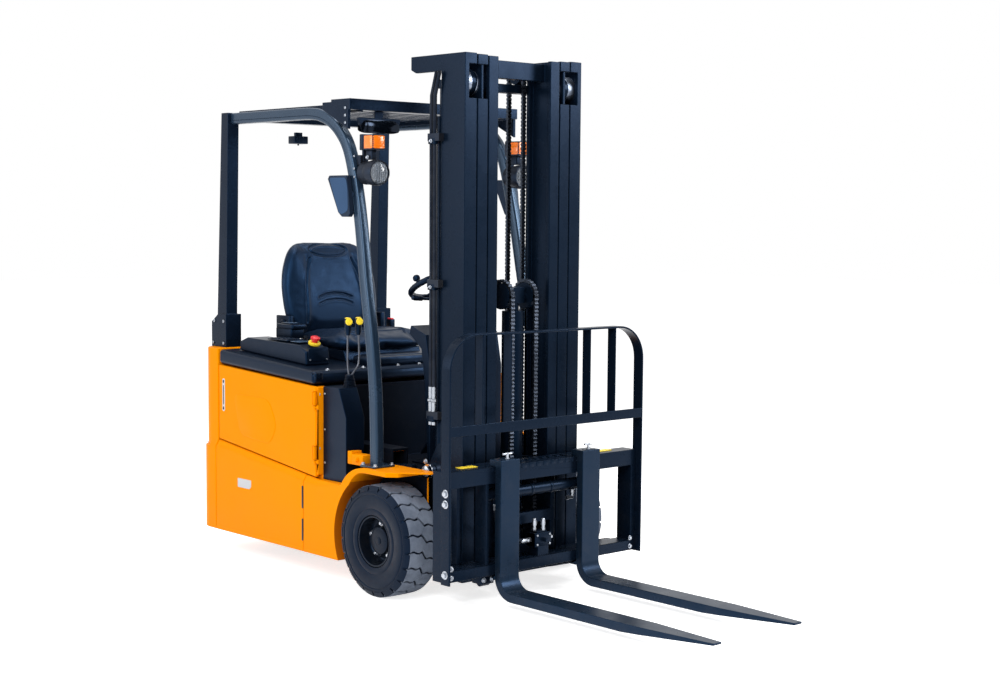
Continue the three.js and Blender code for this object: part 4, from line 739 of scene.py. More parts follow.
def chain(kit, line, shrink=1.0):
    """Leaf chain along a line of points one pitch apart: interleaved plates, with pins across the truck."""
    for i in range(len(line) - 1):
        a, b = Vector(line[i]), Vector(line[i + 1])
        t = (b - a).normalized()
        n = Y.cross(t)
        r = LINK_RADIUS * shrink
        shape = []
        for centre, start in ((b, -math.pi / 2), (a, math.pi / 2)):
            for j in range(6):
                ang = start + math.pi * j / 5
                shape.append(centre + t * (r * math.cos(ang)) + n * (r * math.sin(ang)))
        waist = n * (r * 0.52)
        mid = (a + b) / 2
        shape = shape[:6] + [mid + waist] + shape[6:] + [mid - waist]
        for leaf in range(i % 2, LEAVES, 2):
            off = (leaf - (LEAVES - 1) / 2) * LEAF_STEP * shrink
            kit.loft([[v + Y * (off + d) for v in shape] for d in (-LEAF / 2 * shrink, LEAF / 2 * shrink)])
        half = (LEAVES * LEAF_STEP / 2 + 0.6) * shrink
        kit.lathe([(2.7, -half), (2.7, half)], a, Y, 8)


def straight(x, y, z0, z1):
    count = max(1, int((z1 - z0) / PITCH))
    return [(x, y, z1 - PITCH * i) for i in range(count + 1)]


def arc(x, y, z, radius, start, end):
    count = max(2, round(abs(end - start) * radius / PITCH))
    turns = [start + (end - start) * i / count for i in range(count + 1)]
    return [(x + radius * math.cos(turn), y, z + radius * math.sin(turn)) for turn in turns]


FREE_Y, MAIN_Y = 65.0, 120.0
FREE_TOP, MAIN_TOP = 1211.0, 2115.0
FREE_CENTRE, MAIN_CENTRE = (230.0, FREE_TOP, 62.0), (105.0, MAIN_TOP, 45.0)
# name, nodes stood for, body, distance from the middle, x, lower end, upper end, size of the links
RUNS = (
    ("carriage_chain_run", ("carriage_chains",), "fork_carriage", FREE_Y, 292.0, 300.0, FREE_TOP, 1.0),
    ("ram_chain_run", ("ram_chains",), "mast_inner", FREE_Y, 168.0, 194.0, FREE_TOP, 1.0),
    ("ram_chain_pay_out", (), "free_lift_ram", FREE_Y, 168.0, 455.0, FREE_TOP, 0.96),
    ("mast_chain_front_run", ("mast_chains_front",), "mast_inner", MAIN_Y, 150.0, 194.0, MAIN_TOP, 1.0),
    ("mast_chain_rear_run", ("mast_chains_rear",), "mast_outer", MAIN_Y, 60.0, 464.0, MAIN_TOP, 1.0),
    ("mast_chain_pay_out", (), "mast_middle", MAIN_Y, 60.0, 465.0, MAIN_TOP, 0.96),
)
for name, nodes, body, y, x, low, high, shrink in RUNS:
    kit = Kit()
    for s in SIGNS:
        chain(kit, straight(x, s * y, low, high), shrink)
        if nodes:
            end = high - PITCH * int((high - low) / PITCH)
            kit.brick((x - 7, s * y - 9, low - 3), (x + 7, s * y + 9, end + 4), 3, 1)
            kit.lathe([(5, 0), (5, 26)], (x, s * y, low - 4), Z, 12)
    ob = kit.make(name, "chain_steel", body, nodes, "chain_steel", angle=40)
    if name.startswith("carriage"):
        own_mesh(ob)
    if name == "mast_chain_front_run":
        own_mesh(ob)
ARCS = (
    ("free_sheave_chain", "free_lift_ram", FREE_Y, FREE_CENTRE),
    ("main_sheave_chain", "mast_middle", MAIN_Y, MAIN_CENTRE),
)
for name, body, y, (cx, cz, radius) in ARCS:
    kit = Kit()
    for s in SIGNS:
        chain(kit, arc(cx, s * y, cz, radius, 0, math.pi))
    kit.make(name, "chain_steel", body, (), "chain_steel", angle=40)


# ---------------------------------------------------------------- guard legs
def leg_shape(half_u, half_v):
    """Section of a guard leg: a drawn tube with a narrow groove along each side."""
    outline = rounded(half_u, half_v, 8, 4)
    shaped = []
    for i, (a, b) in enumerate(outline):
        shaped.append((a, b))
        c, d = outline[(i + 1) % len(outline)]
        length = math.hypot(c - a, d - b)
        if length > 12:
            for t, dip in ((0.20, 0), (0.235, 1.8), (0.27, 0)):
                x, y = a + (c - a) * t, b + (d - b) * t
                shaped.append((x - (d - b) / length * dip, y + (c - a) / length * dip))
    return shaped


LEG_ROUTE = (
    (-83, 460, 515.3), (-106, 450, 817), (-140, 444, 1040), (-188, 437, 1270), (-224, 431, 1474),
    (-262, 427, 1640), (-313, 426, 1802), (-361, 425, 1868), (-431, 425, 1923), (-523, 425, 1955),
    (-640, 425, 1962), (-700, 425, 1962),
)
FOOT_X, FOOT_Y, FOOT_Z = -80, 460, 515.3
for side, s in SIDES:
    line = smooth_path([(x, y * s, z) for x, y, z in LEG_ROUTE], 6) + [Vector((-1174, 425 * s, 1962))]
    leg = Kit().tube(line, 0, profile=leg_shape(20, 25), up=(0, 1, 0))
    leg.brick((FOOT_X - 50, s * FOOT_Y - 55, FOOT_Z), (FOOT_X + 50, s * FOOT_Y + 55, 523), 8, 2)
    # The legs take the lighter copy of the guard paint, a painted highlight.
    leg.make("guard_leg_" + side, "leg_painted_highlight", "chassis", ["guard_front_" + side], "guard_paint", angle=28)
    marks = Kit()
    for dx in (-40, 40):
        for dy in (-42, 42):
            marks.bolt((FOOT_X + dx, s * FOOT_Y + dy, 523), Z, 12, 7)
    for z in (1972, 1942, 1912):
        marks.cap_screw((-292, s * 464.5, z), Y * s, 11, 4)
    for x, z in ((-1282, 950), (-1272, 1050), (-1196, 950), (-1196, 1050)):
        marks.cap_screw((x, s * 474, z), Y * s, 14, 5)
    marks.make("guard_bolts_" + side, "zinc", "chassis")

for side, s in SIDES:
    bracket = Kit()
    for x0, x1, top in ((-234, -206, 566), (-206, -132, 556)):
        bracket.brick((x0, s * 470 - 26, 513), (x1, s * 470 + 26, top), 2.0, 2)
    bracket.bolt((-168, s * 497, 536), Y * s, 13, 6)
    bracket.make("leg_bracket_" + side, "body_paint", "chassis")

# ---------------------------------------------------------------- lamps and mirrors
LAMP_Y, LAMP_Z, RIB_CIRCLE = 401, 1707, 40
MIRROR_SHAPE = ((-390, 1687), (-277, 1687), (-265, 1640), (-262, 1552), (-305, 1538), (-325, 1546))
GLASS = ((47, 0), (48, 4), (47, 9), (40, 13), (24, 17), (0, 18))
BEZEL = ((52, -30), (53, -6), (51, 8), (47.5, 8), (47, 0))
for side, s in SIDES:
    cy = s * LAMP_Y
    glass = Kit().lathe(GLASS, (-158, cy, LAMP_Z), X, 40, caps=False)
    for i in range(-3, 4):
        reach = math.sqrt(RIB_CIRCLE ** 2 - (i * 11) ** 2)
        x, y = -146 + 3 * (1 - abs(i) / 4), cy + i * 11
        glass.tube([(x, y, LAMP_Z - reach), (-142, y, LAMP_Z), (x, y, LAMP_Z + reach)], 2.4, 8)
    glass.make("headlight_glass_" + side, "clear", "chassis")
    bezel = Kit().lathe(BEZEL, (-152, cy, LAMP_Z), X, 40, caps=False)
    bezel.lathe([(20, 0), (44, 22), (50, 40), (50, 58)], (-236, cy, LAMP_Z), X, 32, caps=False)
    for i in range(5):
        bezel.brick((-226, cy - 40, 1680 + i * 12), (-178, cy + 40, 1683 + i * 12), 6, 1)
    bezel.make("headlight_shell_" + side, "lamp_housing", "chassis")
    bowl = Kit().lathe([(12, -26), (30, -18), (44, -3), (46, 0)], (-156, cy, LAMP_Z), X, 40, caps=False)
    bowl.make("headlight_bowl_" + side, "ram_chrome", "chassis")
    signal = Kit().brick((-214, cy - 33, 1802), (-149, cy + 33, 1861), 9, 6)
    for i in range(6):
        signal.brick((-205, cy - 34, 1809 + i * 8.5), (-148, cy + 34, 1812 + i * 8.5), 9, 1)
    signal.make("signal_lens_" + side, "amber", "chassis")
    base = Kit().brick((-238, cy - 36, 1799), (-212, cy + 36, 1864), 8, 3)
    base.brick((-222, cy - 14, 1760), (-180, cy + 14, 1801), 5, 2)
    base.make("signal_base_" + side, "lamp_housing", "chassis")
    screws = Kit()
    for z in (1690, 1724, 1775):
        screws.cap_screw((-252, s * 449, z), Y * s, 9, 3)
    screws.bolt((-200, cy + s * 20, 1770), Y * s, 10, 6)
    screws.make("lamp_screws_" + side, "zinc", "chassis")
    face = Kit().slab((0, s * 473.4, 0), (X, Z, Y * s), filleted(MIRROR_SHAPE, 16), 1.6, 0.8)
    face.make("side_mirror_face_" + side, "mirror", "chassis")
centre_face = Kit()
shape = [(-104, -20), (-96, 14), (-70, 27), (70, 27), (96, 14), (104, -20), (70, -28), (-70, -28)]
for x, d in ((-284.6, 1), (-305.4, -1)):
    centre_face.slab((x, -290, 1902), (Y, Z, X * d), filleted(shape[::-1], 14), 1.6, 0.8)
centre_face.make("centre_mirror_face", "cabin_mirror_painted_reflection", "chassis")

# ---------------------------------------------------------------- mast trim
trim = Kit()
for s in SIGNS:
    for z in (477, 436, 162):
        trim.bolt((437 if z > 200 else 436, s * 534, z), Y * s, 19, 9)
trim.make("backrest_bolts", "zinc", "side_shift_frame")

EYE_X, EYE_Z = 98, 505
eyes = Kit()
for s in SIGNS:
    eyes.lathe([(21, 0), (24, 1), (24, 4), (21, 6), (12, 6)], (EYE_X, s * 352, EYE_Z), Y * s, 28)
    eyes.bolt((EYE_X, s * 357, EYE_Z), Y * s, 18, 10)
    eyes.bolt((EYE_X, s * 352, EYE_Z + 41), Y * s, 13, 7)
eyes.make("tilt_eye_bolts", "zinc", "mast_outer")

ROLLERS = (
    ("outer_roller", "mast_outer", 262.0, 305.0, 2060.0),
    ("middle_roller", "mast_middle", 208.0, 238.0, 2056.0),
)
for name, body, y0, y1, cz in ROLLERS:
    rollers = Kit()
    for low, high in ((-y1, -y0), (y0, y1)):
        near = [(20, low - 1), (50, low - 1), (52.6, low + 2)]
        far = [(52.6, high - 2), (50, high + 1), (20, high + 1)]
        rollers.lathe(near + far, (214.5, 0, cz), Y, 48)
    rollers.make(name, "roller_steel", body)

HOSES_X, HOSES_Y = (104, 124), -333
hose_trim = Kit()
for x in HOSES_X:
    for low, tall in ((694, 41), (742, 48), (800, 50)):
        sleeve = [(8.2, 0), (10, 2), (10, tall - 2), (8.2, tall)]
        hose_trim.lathe(sleeve, (x, HOSES_Y, low), Z, 20, caps=False)
    hose_trim.lathe([(12, 0), (12.5, 1), (12.5, 11), (12, 12)], (x, HOSES_Y, 736), Z, 6)
    hose_trim.lathe([(12, 0), (12.5, 1), (12.5, 9), (12, 10)], (x, HOSES_Y, 790), Z, 6)
for z in (1250, 1830):
    hose_trim.bolt((114, -346, z), -Y, 9, 6)
hose_trim.make("mast_hose_fittings", "zinc", "mast_outer")

clamps = Kit()
for z in (720, 1250, 1830):
    clamps.brick((92, -345, z - 12), (136, -322, z + 12), 5, 2)
clamps.make("mast_hose_clamps", "mast_paint", "mast_outer")

# ---------------------------------------------------------------- carriage and forks
FORK_Y = 225.0
VALVE_Z, VALVE_TOP = 233, 262
valve = Kit()
NUT_STACK = ((9, 0), (9, 16), (7, 17), (7, 24), (10, 25), (10, 44), (8, 46), (0, 46))
UNION = ((11, 0), (11.5, 1), (11.5, 12), (9, 13), (8.4, 26), (0, 26))
for x, y in ((384, -18), (402, 14)):
    valve.lathe(NUT_STACK, (x, y, VALVE_TOP), Z, 6)
    valve.lathe([(7.4, 0), (7.4, 52), (6, 54), (0, 54)], (x, y, VALVE_TOP), Z, 20)
for s in (1, -1):
    valve.lathe(UNION, (393, s * 45, VALVE_Z), Y * s, 6)
valve.lathe([(9.4, 0), (10, 2), (10, 30), (8.2, 32)], (393, -70, 233.5), -Y, 20, caps=False)
valve.lathe([(9.4, 0), (10, 2), (10, 24), (8.2, 26)], (392, -236, 399), -Z, 20, caps=False)
valve.lathe([(8, 0), (8, 14), (11, 15), (11, 27), (8, 28), (0, 28)], (392, 188, 388), Z, 6)
valve.lathe([(7, 0), (7, 22), (9.5, 23), (9.5, 36), (0, 37)], (392, 188, 382), -Y, 6)
for y in (-34, 34):
    for z in (VALVE_Z - 19, VALVE_Z + 19):
        valve.cap_screw((420, y, z), X, 9, 4)
valve.make("valve_fittings", "zinc", "side_shift_frame")

block = Kit().brick((366, -45, 205), (420.5, 45, VALVE_TOP), 4, 2)
block.brick((372, -30, VALVE_TOP), (414, 26, 267), 3, 1)
block.lathe([(8, 0), (9, 1), (9, 22), (7, 24), (0, 24)], (420, 0, VALVE_Z), X, 28)
block.make("valve_block", "mast_paint", "side_shift_frame")

RAM_X, RAM_Z, RETAINER_Y = 392, 440, 292
ram = Kit()
for y in (-301, 284):
    ram.lathe([(24.5, 0), (27, 1), (27, 16), (24.5, 17)], (RAM_X, y, RAM_Z), Y, 32)
for y in (-60, 46):
    ram.lathe([(25.5, 0), (26.5, 2), (26.5, 12), (25.5, 14)], (RAM_X, y, RAM_Z), Y, 32, caps=False)
for s in SIGNS:
    y = s * RETAINER_Y
    ram.brick((352, y - 34, 90), (412, y + 34, 125), 6, 2)
    ram.lathe([(17, 0), (18, 1), (18, 44), (17, 45)], (384, y - 22, 96), Y, 24)
ram.make("shift_ram_collars", "mast_paint", "side_shift_frame")

lower_bolts = Kit()
for s in SIGNS:
    for dy in (-22, 22):
        lower_bolts.bolt((412, s * RETAINER_Y + dy, 108), X, 13, 7)
    for z in (144, 179):
        lower_bolts.bolt((430, s * 497, z), X, 12, 6)
lower_bolts.make("retainer_bolts", "zinc", "side_shift_frame")

pads = Kit()
for s in SIGNS:
    pads.brick((358, s * 376 - 42, 556), (395, s * 376 + 42, 559), 3, 1)
pads.make("slide_pads", "yellow", "side_shift_frame")

teeth = Kit()
TEETH = [i * 40.0 for i in range(-7, 8)]
for y in TEETH:
    if abs(abs(y) - FORK_Y) > 60:
        teeth.brick((353, y - 13, 556), (381, y + 13, 560), 3, 1)
for y in TEETH:
    teeth.brick((429, y - 13, 538), (432, y + 13, 556), 1.2, 1)
teeth.make("bar_teeth", "mast_paint", "side_shift_frame")

for side, s in SIDES:
    y = s * FORK_Y
    pin = Kit().lathe([(9, 0), (9, 5), (5.5, 6), (5.5, 20), (7, 21), (7, 27), (0, 28)], (446, y, 583), Z, 20)
    pin.tube([(446, y - 22, 605), (446, y - 20, 605), (446, y + 20, 605), (446, y + 22, 605)], 4.2, 12)
    pin.make("fork_pin_" + side, "zinc", "fork_arm_" + side)
    wear = Kit().brick((438, y - 30, 582), (460, y + 30, 585), 3, 1)
    wear.make("fork_pin_seat_" + side, "fork_paint", "fork_arm_" + side)

# ---------------------------------------------------------------- seat
VOXEL, PRESSURE, FRAMES, CAP = 0.006, 4.0, 20, 22.0


def pillow(name, middle, outline, front, back, place, rings=26):
    """A closed pad: the outline about middle, between two height fields, with a rolled rim."""
    cu, cv = middle
    n = len(outline)
    kit = Kit()
    for field, flip in ((front, False), (back, True)):
        verts, faces = [], []
        for k in range(rings + 1):
            r = k / rings
            roll = 1.0 if r < 0.8 else math.sqrt(max(0.0, 1 - ((r - 0.8) / 0.2) ** 2))
            for a, b in outline:
                u, v = cu + (a - cu) * r, cv + (b - cv) * r
                centre = (front(u, v) + back(u, v)) / 2
                verts.append(place(u, v, centre + (field(u, v) - centre) * roll))
        for k in range(rings):
            for i in range(n):
                q = (k * n + i, k * n + (i + 1) % n, (k + 1) * n + (i + 1) % n, (k + 1) * n + i)
                faces.append(tuple(reversed(q)) if flip else q)
        kit.add(verts, faces)
    ob = kit.object(name, "seat_vinyl", angle=180)
    bm = bmesh.new()
    bm.from_mesh(ob.data)
    bmesh.ops.remove_doubles(bm, verts=bm.verts, dist=2e-4)
    bmesh.ops.dissolve_degenerate(bm, edges=bm.edges, dist=1e-5)
    bmesh.ops.recalc_face_normals(bm, faces=bm.faces)
    bm.to_mesh(ob.data)
    bm.free()
    return ob


def inflate(ob):
    """Voxel remesh and a pressure cloth simulation, with the movement capped and applied."""
    remesh = ob.modifiers.new("remesh", "REMESH")
    remesh.mode, remesh.voxel_size, remesh.use_smooth_shade = "VOXEL", VOXEL, True
    baked(ob)
    before = np.array([v.co for v in ob.data.vertices], float)
    cloth = ob.modifiers.new("cloth", "CLOTH")
    cloth.settings.use_pressure = True
    cloth.settings.uniform_pressure_force = PRESSURE
    cloth.settings.effector_weights.gravity = 0
    cloth.settings.tension_stiffness = cloth.settings.compression_stiffness = 60
    cloth.settings.bending_stiffness = 30.0
    cloth.settings.shear_stiffness = 30
    cloth.point_cache.frame_start, cloth.point_cache.frame_end = 1, FRAMES
    for f in range(1, FRAMES + 1):
        bpy.context.scene.frame_set(f)
    mesh = baked(ob).data
    after = np.array([v.co for v in mesh.vertices], float)
    move = after - before
    reach = np.linalg.norm(move, axis=1, keepdims=True)
    move *= np.minimum(1.0, CAP * MM / np.maximum(reach, 1e-9))
    mesh.vertices.foreach_set("co", (before + move).ravel())
    bpy.context.scene.frame_set(1)
    smooth = ob.modifiers.new("smooth", "SMOOTH")
    smooth.factor, smooth.iterations = 0.5, 12
    fine = ob.modifiers.new("fine", "SUBSURF")
    fine.levels = fine.render_levels = 1
    baked(ob)
    for p in ob.data.polygons:
        p.use_smooth = True
    return ob


def step(x, low, high):
    t = min(max((x - low) / (high - low), 0.0), 1.0)
    return t * t * (3 - 2 * t)


def seam_gap(points, line):
    """Distance of each point of the plane to a polyline."""
    best = np.full(len(points), 1e9)
    for a, b in zip(line, line[1:]):
        a, d = np.array(a, float), np.array(b, float) - np.array(a, float)
        t = np.clip((points - a) @ d / (d @ d), 0, 1)
        best = np.minimum(best, np.linalg.norm(points - a - t[:, None] * d, axis=1))
    return best


def press_seams(ob, foot, axes, lines):
    """Sinks each seam line, drawn on the first two axes, into the side that the third axis points out of."""
    mesh = ob.data
    co = np.zeros(len(mesh.vertices) * 3)
    normal = np.zeros_like(co)
    mesh.vertices.foreach_get("co", co)
    mesh.vertices.foreach_get("normal", normal)
    co, normal = co.reshape(-1, 3), normal.reshape(-1, 3)
    u, v, w = (np.array(a, float) for a in axes)
    local = (co - np.array(P(*foot))) / MM
    flat = np.column_stack((local @ u, local @ v))
    sink = np.zeros(len(co))
    for line, depth, width in lines:
        d = seam_gap(flat, line)
        cut = depth * np.exp(-(d / width) ** 2) - 0.25 * depth * np.exp(-((d - 1.9 * width) / width) ** 2)
        sink = np.where(np.abs(cut) > np.abs(sink), cut, sink)
    facing = np.clip((normal @ w - 0.15) / 0.3, 0, 1)
    co -= w * (sink * facing * MM)[:, None]
    mesh.vertices.foreach_set("co", co.ravel())
    mesh.update()


LEAN = math.radians(9.5)
BACK_UP = Vector((-math.sin(LEAN), 0, math.cos(LEAN)))
BACK_OUT = Vector((math.cos(LEAN), 0, math.sin(LEAN)))
BACK_FOOT = Vector((-1056, 0, 973.7))
BACK_HALF, BACK_TALL = 262.0, 436.0


def on_back(u, v, w):
    return BACK_FOOT + Y * u + BACK_UP * v + BACK_OUT * w


def back_front(u, v):
    bolster = step(abs(u), 128, 205) * (1 - 0.55 * step(v, 330, 440)) * 30
    lumbar = 9 * math.exp(-((v - 150) / 90) ** 2)
    head = 8 * step(v, 330, 400)
    return 66 + bolster + lumbar * (1 - step(abs(u), 120, 190)) + head


def back_rear(u, v):
    return 12 + 10 * (u / BACK_HALF) ** 2


back_outline = filleted([
    (-BACK_HALF * 0.84, -6), (BACK_HALF * 0.84, -6), (BACK_HALF, 110), (BACK_HALF, BACK_TALL - 150),
    (BACK_HALF * 0.74, BACK_TALL), (-BACK_HALF * 0.74, BACK_TALL), (-BACK_HALF, BACK_TALL - 150),
    (-BACK_HALF, 110),
], 120, 10)
seat_back = inflate(pillow("seat_back_pad", (0, 215), back_outline, back_front, back_rear, on_back))
dimple = [(104 * math.cos(a), 392 + 30 * math.sin(a)) for a in (2 * math.pi * i / 40 for i in range(41))]
press_seams(seat_back, BACK_FOOT, (Y, BACK_UP, BACK_OUT), [
    (dimple, 7.0, 5.0),
    ([(-118, 352), (-140, 300), (-158, 230), (-164, 150), (-168, 60)], 8.0, 5.0),
    ([(118, 352), (140, 300), (158, 230), (164, 150), (168, 60)], 8.0, 5.0),
    ([(-92, 170), (-50, 184), (0, 189), (50, 184), (92, 170)], 6.0, 4.5),
    ([(-92, 140), (-50, 154), (0, 159), (50, 154), (92, 140)], 4.0, 4.5),
])
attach(seat_back, "seat_deck")
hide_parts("seat_back")

CUSHION_LOW, CUSHION_REAR, CUSHION_FRONT, CUSHION_HALF = 943.0, -1006.0, -586.0, 252.0


def cushion_top(u, v):
    bolster = 13 * step(abs(v), 150, 212) * (1 - 0.6 * step(u, -700, -620))
    roll = 7 * math.exp(-((u + 650) / 60) ** 2)
    return 998 + bolster + roll


def cushion_low(u, v):
    return CUSHION_LOW


def on_deck(u, v, w):
    return Vector((u, v, w))


cushion_outline = filleted([
    (CUSHION_REAR, -CUSHION_HALF * 0.9), (CUSHION_FRONT - 40, -CUSHION_HALF),
    (CUSHION_FRONT, -CUSHION_HALF * 0.62), (CUSHION_FRONT, CUSHION_HALF * 0.62),
    (CUSHION_FRONT - 40, CUSHION_HALF), (CUSHION_REAR, CUSHION_HALF * 0.9),
], 90, 10)
cushion = inflate(pillow("seat_cushion_pad", (-800, 0), cushion_outline, cushion_top, cushion_low, on_deck))
press_seams(cushion, (0, 0, 0), (X, Y, Z), [
    ([(-1000, -152), (-800, -160), (-690, -158), (-655, -140)], 6.0, 5.0),
    ([(-1000, 152), (-800, 160), (-690, 158), (-655, 140)], 6.0, 5.0),
    ([(-690, -158), (-676, -80), (-672, 0), (-676, 80), (-690, 158)], 5.0, 5.0),
])
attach(cushion, "seat_deck")
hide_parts("seat_cushion")

hinges = Kit()
for s in SIGNS:
    hinges.brick((-1075, s * 262 - 12, 958), (-965, s * 262 + 12, 1078), 8, 3)
    hinges.lathe([(20, 0), (22, 2), (22, 12), (18, 15), (0, 15)], (-1008, s * 270, 1040), Y * s, 28)
hinges.make("seat_hinges", "lever_plastic", "seat_deck")
stalk = Kit().tube([(-930, 262, 950), (-925, 268, 985), (-915, 266, 1020)], 8, 12)
stalk.brick((-936, 254, 1010), (-898, 280, 1048), 5, 2)
stalk.make("belt_stalk", "lever_plastic", "seat_deck")
Kit().brick((-932, 258, 1046), (-902, 276, 1054), 4, 2).make("belt_button", "red", "seat_deck")

# ---------------------------------------------------------------- console, hood and door trim
box_trim = Kit().brick((-975, -345, 985), (-850, -272, 1030), 10, 4)
box_trim.brick((-965, -350, 1026), (-835, -268, 1048), 12, 6)
box_trim.brick((-948, -336, 1048), (-872, -284, 1053), 6, 2)
box_trim.make("display_box", "lever_plastic", "seat_deck")
glass = Kit().slab((-905, -310, 1053), (X, Y, Z), rounded(28, 18, 4), 1.6, 0.8)
glass.make("display_glass", "screen", "seat_deck")
keys = Kit().brick((-905, -438, 984), (-745, -346, 989), 8, 2)
for i in range(4):
    for j in range(2):
        x, y = -892 + i * 37, -430 + j * 40
        keys.brick((x, y, 988), (x + 26, y + 28, 993), 5, 1.5)
keys.make("key_pad", "lever_plastic", "seat_deck")
glass = Kit().slab((-700, -392, 984.5), (X, Y, Z), rounded(34, 42, 6), 2.0, 1)
glass.make("panel_glass", "screen", "seat_deck")
STOP_AXIS, STOP_FOOT = Vector((0.30, 0, 0.95)), (-622, -385, 976)
stop = Kit().lathe([(26, 0), (27, 2), (27, 10), (25, 12), (20, 12)], STOP_FOOT, STOP_AXIS, 32)
stop.make("stop_ring", "yellow", "seat_deck")
MUSHROOM = ((12, 6), (12, 20), (19, 22), (21, 27), (20.5, 33), (16, 36), (0, 37))
Kit().lathe(MUSHROOM, STOP_FOOT, STOP_AXIS, 32).make("stop_button", "red", "seat_deck")
panel = Kit().slab((-582.5, -392, 936), (Y, Z, X), rounded(52, 30, 8), 2.4, 1.2)
panel.make("console_front_panel", "hood_plastic", "seat_deck")
console_screws = Kit()
for y in (-436, -348):
    console_screws.cap_screw((-580.5, y, 914), X, 9, 3)
for y in (-440, -250, -60, 60, 250, 440):
    console_screws.bolt((-452, y, 880), Z, 12, 5)
console_screws.make("hood_screws", "zinc", "seat_deck")
pad = Kit().brick((-606, -205, 880), (-462, 205, 922), 34, 14)
pad.brick((-590, -170, 918), (-480, 170, 926), 22, 5)
pad.make("hood_pad", "hood_plastic", "seat_deck")
latch = Kit().brick((-452, -520, 846), (-426, -478, 874), 6, 3)
latch.lathe([(9, 0), (10, 1), (10, 5), (4, 6)], (-427, -498, 860), X, 20)
latch.make("hood_latch", "lever_plastic", "seat_deck")

PULL_X, PULL_Z = -1118, 725
emboss_shape = filleted([(-1036, 738), (-985, 560), (-752, 538), (-700, 626), (-762, 736)], 44, 8)
tag_shape = filleted([(-985, 326), (-893, 326), (-880, 338), (-880, 366), (-985, 366)], 3, 2)
for side, s in SIDES:
    door = "door_" + side
    outward = (X, Z, Y * s)
    emboss = Kit().slab((0, s * 525.6, 0), outward, emboss_shape, 2.6, 2.4, 4)
    emboss.make("door_emboss_" + side, "body_paint", door, angle=60)
    pull = Kit().slab((PULL_X, s * 525.6, PULL_Z), outward, rounded(9.5, 74, 9), 2.6, 1.2)
    pull.make("door_pull_" + side, "plate", door)
    dark = Kit()
    for dz in (-60, 60):
        dark.slab((PULL_X, s * 527.6, PULL_Z + dz), outward, rounded(5, 7, 4), 1.2, 0.5)
    dark.slab((PULL_X, s * 527.6, PULL_Z), outward, rounded(3, 44, 3), 1.0, 0.4)
    dark.make("door_pull_slots_" + side, "lever_plastic", door)
    screws = Kit()
    for z in (540, 770):
        screws.cap_screw((-413.5, s * 533, z), Z, 9, 2)
    screws.make("hinge_pins_" + side, "zinc", door)
    Kit().slab((0, s * 539.6, 0), outward, tag_shape, 1.6, 0.6).make("tag_plate_" + side, "plate", "chassis")
    slots = Kit()
    for z, half in ((344.0, 48.0), (205.0, 47.0)):
        slots.slab((-492, s * 539.4, z), outward, rounded(5.5, half, 3), 0.9, 0.3)
    slots.make("panel_slots_" + side, "lever_plastic", "chassis")
    marks = Kit()
    for z in (787, 560):
        marks.cap_screw((-400.5, s * 516, z), Y * s, 13, 4)
    marks.make("post_screws_" + side, "zinc", "chassis")

# ---------------------------------------------------------------- levers, steering wheel, roof box
LEVER_X = -307
boot = []
for i in range(17):
    t = i / 16
    swell = 1.5 if i % 2 else -1.5
    fold = rounded(15 - 5 * t + swell, 24 - 9 * t + swell, 5)
    boot.append([Vector((LEVER_X + a, -431 + b, 820.3 + 52 * t)) for a, b in fold])
levers = Kit().loft(boot)
GRIP = ((8, 0), (13, 14), (14, 34), (12.5, 48), (15, 58), (13, 66), (8, 70))
for y in (-440, -386):
    levers.lathe(GRIP, (LEVER_X, y, 1036), Z, 24)
levers.make("lever_boot_and_grips", "lever_plastic", "chassis", ["lever_unit"])
rods = Kit()
for y0, y1 in ((-434, -441), (-428, -386)):
    line = [(y0, 862), ((y0 + y1) / 2, 885), (y1, 912), (y1, 1046)]
    rods.tube(smooth_path([(LEVER_X, y, z) for y, z in line], 5), 4.0, 12)
rods.make("lever_rods", "rod_steel", "chassis")
knobs = Kit()
SWITCH_AXIS = Vector((0.93, -0.3, 0.25))
for y in (-441, -386):
    knobs.lathe([(0, 0), (13, 0), (15, 2), (15, 6), (12, 9), (0, 10)], (-300, y, 1092), SWITCH_AXIS, 28)
    knobs.lathe([(0, 0), (12, 0), (12.5, 1.5), (9, 4), (0, 5)], (LEVER_X, y, 1106), Z, 24)
knobs.make("lever_knobs", "yellow", "chassis")
cowl_trim = Kit()
for z in (790, 640, 500):
    cowl_trim.cap_screw((-385, -500.3, z), -Y, 10, 3)
cowl_trim.make("cowl_screws", "zinc", "chassis")

WHEEL_TILT = math.radians(66)
COLUMN = Vector((-math.cos(WHEEL_TILT), 0, math.sin(WHEEL_TILT)))
WHEEL_MIDDLE, WHEEL_RADIUS = Vector((-196, 0, 1245)), 155
along = Vector((math.sin(WHEEL_TILT), 0, math.cos(WHEEL_TILT)))


def on_wheel(angle, r, h=0.0):
    return WHEEL_MIDDLE + (Y * math.sin(angle) + along * math.cos(angle)) * r + COLUMN * h


ring = []
for i in range(72):
    a = 2 * math.pi * i / 72
    out = Y * math.sin(a) + along * math.cos(a)
    grip = 13.4 + 0.5 * math.cos(36 * a)
    ring.append([
        on_wheel(a, WHEEL_RADIUS) + out * grip * math.cos(b) + COLUMN * grip * math.sin(b)
        for b in (2 * math.pi * k / 14 for k in range(14))
    ])
wheel = Kit().loft(ring, loop=True)
wheel.lathe([(30, -34), (38, -30), (38, 18), (34, 26), (20, 31), (0, 32)], WHEEL_MIDDLE, COLUMN, 36)
for degrees in (180, 300, 420):
    a = math.radians(degrees)
    spoke = [on_wheel(a, 30, -6), on_wheel(a, 70, -4), on_wheel(a, 120, -3), on_wheel(a, 150, 0)]
    wheel.tube(spoke, 0, profile=rounded(7, 12, 5), up=COLUMN)
SPINNER = ((6, 8), (6, 16), (13, 19), (16, 26), (15, 36), (9, 42), (0, 43))
wheel.lathe(SPINNER, WHEEL_MIDDLE - Y * WHEEL_RADIUS, COLUMN, 28)
wheel.make("steering_wheel_ring", "lever_plastic", "hand_wheel", ["steering_wheel"])
